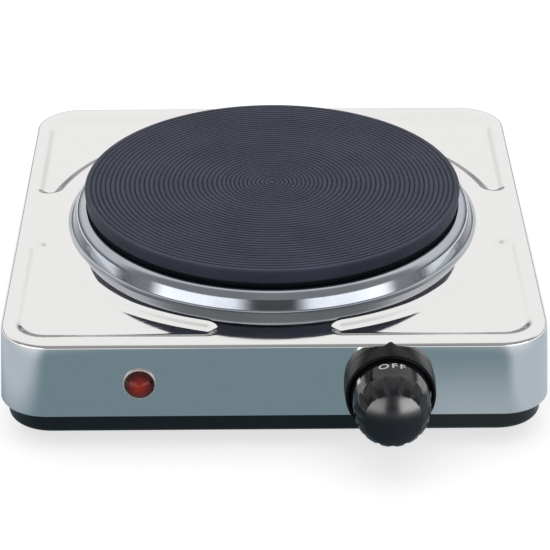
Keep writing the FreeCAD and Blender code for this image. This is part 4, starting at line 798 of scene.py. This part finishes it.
# Satin nickel plate on the ring is pale and soft, with a little pink painted in as a reflection of the lens.
satin_nickel = speckled("satin_nickel_plate", "#f0e4e2", "#e2d3d2", 3, 0.5, 0.004, (0.35, 0.5), Metallic=0.5)
piece(lamp_ring_mesh, satin_nickel, "chassis", ["lamp_bezel"])
# Natural nylon is milky, waxy and slightly see-through.
nylon = speckled("natural_nylon", "#eee9dd", "#e0d9c9", 4, 0.6, 0.01, (0.4, 0.55), Subsurface_Weight=0.1)
dress(nylon, "lamp_body", "lamp_resistor")
# Thin clear glass with a trace of orange from the gas and the coated electrodes.
bulb_glass = speckled("neon_bulb_glass", "#ffd9c4", "#f5c4a8", 2, 0.5, 0.0, (0.02, 0.06), IOR=1.5,
                      Transmission_Weight=0.8)
dress(bulb_glass, "neon_bulb")
dress(zinc_plate, "lamp_clip")

# Cord gland
# A grommet of moulded rubber in the back wall: a flange and a tapered nose outside, a neck in the hole
# and a collar inside, with a bore that grips the mains cord.
GLAND_BORE_R = 3.6
GLAND_ENTRY_R = 4.4
GLAND_NECK_R = 6.9
GLAND_FLANGE_R = 9.0
GLAND_FLANGE = 3.0
GLAND_NOSE_R = 6.0
GLAND_NOSE = 4.0
GLAND_NOSE_DRAFT = 0.5
GLAND_INNER_R = 8.4
GLAND_INNER = 6.4
GLAND_BORE_AT = 0.5
GLAND_ROUNDS = [0.1, 0.5, 0.8, 0.8, 0.8, 0.2, 0.05, 0.05, 0.2, 0.4, 0.2, 0.1]
GLAND_COLUMNS = 96
nose_z = GLAND_FLANGE + GLAND_NOSE
gland_end = -SHEET - GLAND_INNER
gland_profile = rounded([(GLAND_BORE_R, GLAND_BORE_AT), (GLAND_BORE_R, nose_z), (GLAND_NOSE_R, nose_z),
                         (GLAND_NOSE_R + GLAND_NOSE_DRAFT, GLAND_FLANGE), (GLAND_FLANGE_R, GLAND_FLANGE),
                         (GLAND_FLANGE_R, 0), (GLAND_NECK_R, 0), (GLAND_NECK_R, -SHEET),
                         (GLAND_INNER_R, -SHEET), (GLAND_INNER_R, gland_end), (GLAND_ENTRY_R, gland_end),
                         (GLAND_ENTRY_R, GLAND_BORE_AT)], GLAND_ROUNDS)
gland_grid = turned(gland_profile, GLAND_COLUMNS, gland_place, rear_axes)
gland_mesh = skin("rubber_cord_gland", gland_grid, loop=True)
piece(gland_mesh, foot_rubber, "chassis", ["cord_gland"])

# Studio floor
# A painted board under the part, far larger than the view. To the eye it is white but for the part's shadow.
# Polished metal shows it grey-blue close by, paler at the sides and on a card at the right, and pale far out.
FLOOR_HALF = 4.0
FLOOR_GREY = (0.5, 0.5, 0.5, 1)
FLOOR_LIFT = 0.7
NEAR_MIDDLE = (0.2, 0.285, 0.325, 1)
NEAR_SIDES = (0.55, 0.62, 0.68, 1)
FAR_MIDDLE = (1.0, 1.03, 1.08, 1)
FAR_SIDES = (1.5, 1.52, 1.55, 1)
CARD_SHARE = 0.6
WHITE = (1, 1, 1, 1)
floor_mesh = bpy.data.meshes.new("studio_floor")
floor_corners = [(x * FLOOR_HALF, y * FLOOR_HALF, 0) for x, y in ((-1, -1), (1, -1), (1, 1), (-1, 1))]
floor_mesh.from_pydata(floor_corners, [], [(0, 1, 2, 3)])
floor = bpy.data.objects.new("studio_floor", floor_mesh)
bpy.context.scene.collection.objects.link(floor)
painted_board = bpy.data.materials.new("painted_board")
painted_board.use_nodes = True
floor_mesh.materials.append(painted_board)
tree = painted_board.node_tree
tree.nodes.clear()
rays = add_node(tree, "ShaderNodeLightPath")
matt = add_node(tree, "ShaderNodeBsdfDiffuse", {"Color": FLOOR_GREY})
lift = add_node(tree, "ShaderNodeEmission", {"Color": WHITE, "Strength": FLOOR_LIFT})
lifted = add_node(tree, "ShaderNodeAddShader", {0: matt, 1: lift})
seen = add_node(tree, "ShaderNodeMixShader", {0: rays.outputs["Is Camera Ray"], 1: matt, 2: lifted})
place = add_node(tree, "ShaderNodeTexCoord").outputs["Object"]
parts = add_node(tree, "ShaderNodeSeparateXYZ", {"Vector": place})
aside = add_node(tree, "ShaderNodeMath", {0: parts.outputs["X"]}, operation="ABSOLUTE")
away = add_node(tree, "ShaderNodeVectorMath", {0: place}, operation="LENGTH")
# Each row is a smooth step over the floor: what it runs along, where it starts and ends, and its least value.
floor_steps = {"sideways": (aside, 0.02, 0.14, 0.0), "beside": (aside, 0.1, 0.16, 0.0),
               "further": (away, 0.215, 0.36, 0.0), "to_right": (parts.outputs["X"], 0.03, 0.075, 0.0),
               "close_by": (parts.outputs["Y"], -0.185, -0.13, 0.1)}
step = {}
for name, (along, start, end, least) in floor_steps.items():
    step[name] = add_node(tree, "ShaderNodeMapRange", {"Value": along, "From Min": start, "From Max": end,
                                                       "To Min": least}, interpolation_type="SMOOTHSTEP")
card = add_node(tree, "ShaderNodeMath", {0: step["to_right"], 1: step["close_by"]}, operation="MULTIPLY")
paler = add_node(tree, "ShaderNodeMath", {0: card, 1: CARD_SHARE, 2: step["beside"]},
                 operation="MULTIPLY_ADD", use_clamp=True)
near = add_node(tree, "ShaderNodeMix", {"Factor": paler, "A": NEAR_MIDDLE, "B": NEAR_SIDES}, data_type="RGBA")
far = add_node(tree, "ShaderNodeMix", {"Factor": step["sideways"], "A": FAR_MIDDLE, "B": FAR_SIDES},
               data_type="RGBA")
tint = add_node(tree, "ShaderNodeMix", {"Factor": step["further"], "A": near, "B": far}, data_type="RGBA")
mirrored = add_node(tree, "ShaderNodeEmission", {"Color": tint})
either = add_node(tree, "ShaderNodeMixShader", {0: rays.outputs["Is Glossy Ray"], 1: seen, 2: mirrored})
add_node(tree, "ShaderNodeOutputMaterial", {"Surface": either})

# Surround
# White to the camera and an even fill for matt surfaces. Polished metal and gloss plastic show a room: a pale
# wall behind, and a grey front that is dark low in the middle, with a soft box at each side of the dark.
FILL = 0.5
WALL_FOOT = 0.1
WALL_TOP = 1.08
FRONT_DARK = 0.05
FRONT_GREY = 0.38
WALL_RECESS = 0.5
LEAST_AHEAD = 0.2
BOX_POWER = 2.1
world = bpy.data.worlds.new("studio_room")
bpy.context.scene.world = world
world.use_nodes = True
tree = world.node_tree
tree.nodes.clear()
rays = add_node(tree, "ShaderNodeLightPath")
way = add_node(tree, "ShaderNodeTexCoord").outputs["Generated"]
parts = add_node(tree, "ShaderNodeSeparateXYZ", {"Vector": way})
back, up = parts.outputs["Y"], parts.outputs["Z"]
aside = add_node(tree, "ShaderNodeMath", {0: parts.outputs["X"]}, operation="ABSOLUTE")
ahead = add_node(tree, "ShaderNodeMath", {0: back, 1: -1.0}, operation="MULTIPLY")
# The bearing is sideways over ahead, and a least value keeps it finite.
before = add_node(tree, "ShaderNodeMath", {0: ahead, 1: LEAST_AHEAD}, operation="MAXIMUM")
bearing = add_node(tree, "ShaderNodeMath", {0: aside, 1: before}, operation="DIVIDE")
# The front reaches further back the higher it is and the further to a side.
high_aside = add_node(tree, "ShaderNodeMath", {0: aside, 1: up}, operation="MULTIPLY")
recess = add_node(tree, "ShaderNodeMath", {0: high_aside, 1: -WALL_RECESS, 2: back}, operation="MULTIPLY_ADD")
walled = add_node(tree, "ShaderNodeMapRange", {"Value": recess, "From Min": -0.3, "From Max": 0.08},
                  interpolation_type="SMOOTHSTEP")
wall_glow = add_node(tree, "ShaderNodeMapRange", {"Value": up, "From Max": 0.4, "To Min": WALL_FOOT,
                                                  "To Max": WALL_TOP}, interpolation_type="SMOOTHSTEP")
front_low = add_node(tree, "ShaderNodeMapRange", {"Value": bearing, "From Min": 0.9, "From Max": 2.0,
                                                  "To Min": FRONT_DARK, "To Max": FRONT_GREY})
front = add_node(tree, "ShaderNodeMapRange", {"Value": up, "From Min": 0.15, "From Max": 0.32,
                                              "To Min": front_low, "To Max": FRONT_GREY},
                 interpolation_type="SMOOTHSTEP")
room = add_node(tree, "ShaderNodeMix", {"Factor": walled, "A": front, "B": wall_glow})
# The soft boxes fade in over each of their edges: inner, outer, upper, lower, and rear.
box_edges = ((bearing, 0.17, 0.42), (bearing, 2.8, 1.6), (up, 0.28, 0.18), (up, -0.05, 0.03),
             (ahead, 0.1, 0.3))
box_light = BOX_POWER
for along, start, end in box_edges:
    edge = add_node(tree, "ShaderNodeMapRange", {"Value": along, "From Min": start, "From Max": end},
                    interpolation_type="SMOOTHSTEP")
    box_light = add_node(tree, "ShaderNodeMath", {0: box_light, 1: edge}, operation="MULTIPLY")
surround = add_node(tree, "ShaderNodeMath", {0: box_light, 1: room}, operation="ADD")
fill = add_node(tree, "ShaderNodeBackground", {"Color": WHITE, "Strength": FILL})
mirrored = add_node(tree, "ShaderNodeBackground", {"Color": WHITE, "Strength": surround})
white = add_node(tree, "ShaderNodeBackground", {"Color": WHITE})
lit = add_node(tree, "ShaderNodeMixShader", {0: rays.outputs["Is Glossy Ray"], 1: fill, 2: mirrored})
plain = add_node(tree, "ShaderNodeMath", {0: rays.outputs["Is Camera Ray"],
                                          1: rays.outputs["Is Transmission Ray"]}, operation="MAXIMUM")
around = add_node(tree, "ShaderNodeMixShader", {0: plain, 1: lit, 2: white})
add_node(tree, "ShaderNodeOutputWorld", {"Surface": around})

# Lamps
# A broad soft box overhead, kept out of the polished metal, and one low at each side in front. The two at the
# sides light the knob alone and give its domed cap a glow at each side.


def looking(place, ahead):
    """Turn and place of a lamp or camera that looks along a direction, level from side to side."""
    ahead = ahead / np.linalg.norm(ahead)
    right = np.cross(ahead, (0, 0, 1))
    right /= np.linalg.norm(right)
    matrix = np.eye(4)
    matrix[:3] = np.stack([right, np.cross(right, ahead), -ahead, place], 1)
    return Matrix(matrix.tolist())


def soft_lamp(name, target, azimuth, elevation, away, width, tall, radiance):
    """Soft box that looks at a target from an azimuth (from the front) and elevation in degrees. Its power
    is pi times its radiance times its area."""
    azimuth, elevation = np.radians(azimuth), np.radians(elevation)
    level = np.cos(elevation)
    reach = np.array([np.sin(azimuth) * level, -np.cos(azimuth) * level, np.sin(elevation)])
    lamp = bpy.data.lights.new(name, "AREA")
    lamp.shape = "RECTANGLE"
    lamp.size, lamp.size_y = width, tall
    lamp.energy = radiance * np.pi * width * tall
    stand = bpy.data.objects.new(name, lamp)
    stand.matrix_world = looking(target + reach * away, -reach)
    stand.visible_camera = False
    bpy.context.scene.collection.objects.link(stand)
    return stand


overhead = soft_lamp("overhead_lamp", np.zeros(3), azimuth=180, elevation=78, away=1.7, width=2.4, tall=2.2,
                     radiance=0.9)
overhead.visible_glossy = False
black_gloss = bpy.data.collections.new("black_gloss")
black_gloss.objects.link(knob)
for name, azimuth, radiance in (("left_box", -36, 8.0), ("right_box", 36, 15.0)):
    box = soft_lamp(name, knob_place * MM, azimuth, elevation=11, away=0.5, width=0.4, tall=0.28,
                    radiance=radiance)
    box.light_linking.receiver_collection = black_gloss

# Camera
# A long lens about a metre from the plate, looking down at it from the front. Its place is given in
# millimetres from the table under the plate's middle.
CAMERA_FROM_PLATE = np.array([-6.33, -861.77, 486.99])
CAMERA_DOWN = np.radians(28.634)
CAMERA_YAW = np.radians(0.493)
CAMERA_ROLL = np.radians(-0.136)
FOCAL_PIXELS = 2320
FRAME_PIXELS = 550
SENSOR = 36.0
camera = bpy.data.cameras.new("camera")
camera.sensor_width = SENSOR
camera.lens = SENSOR * FOCAL_PIXELS / FRAME_PIXELS
viewer = bpy.data.objects.new("camera", camera)
ahead = np.array([np.sin(CAMERA_YAW) * np.cos(CAMERA_DOWN), np.cos(CAMERA_YAW) * np.cos(CAMERA_DOWN),
                  -np.sin(CAMERA_DOWN)])
viewer.matrix_world = (looking((plate_centre + CAMERA_FROM_PLATE) * MM, ahead)
                       @ Matrix.Rotation(CAMERA_ROLL, 4, "Z"))
bpy.context.scene.collection.objects.link(viewer)
bpy.context.scene.camera = viewer
bpy.context.scene.view_settings.view_transform = "Standard"
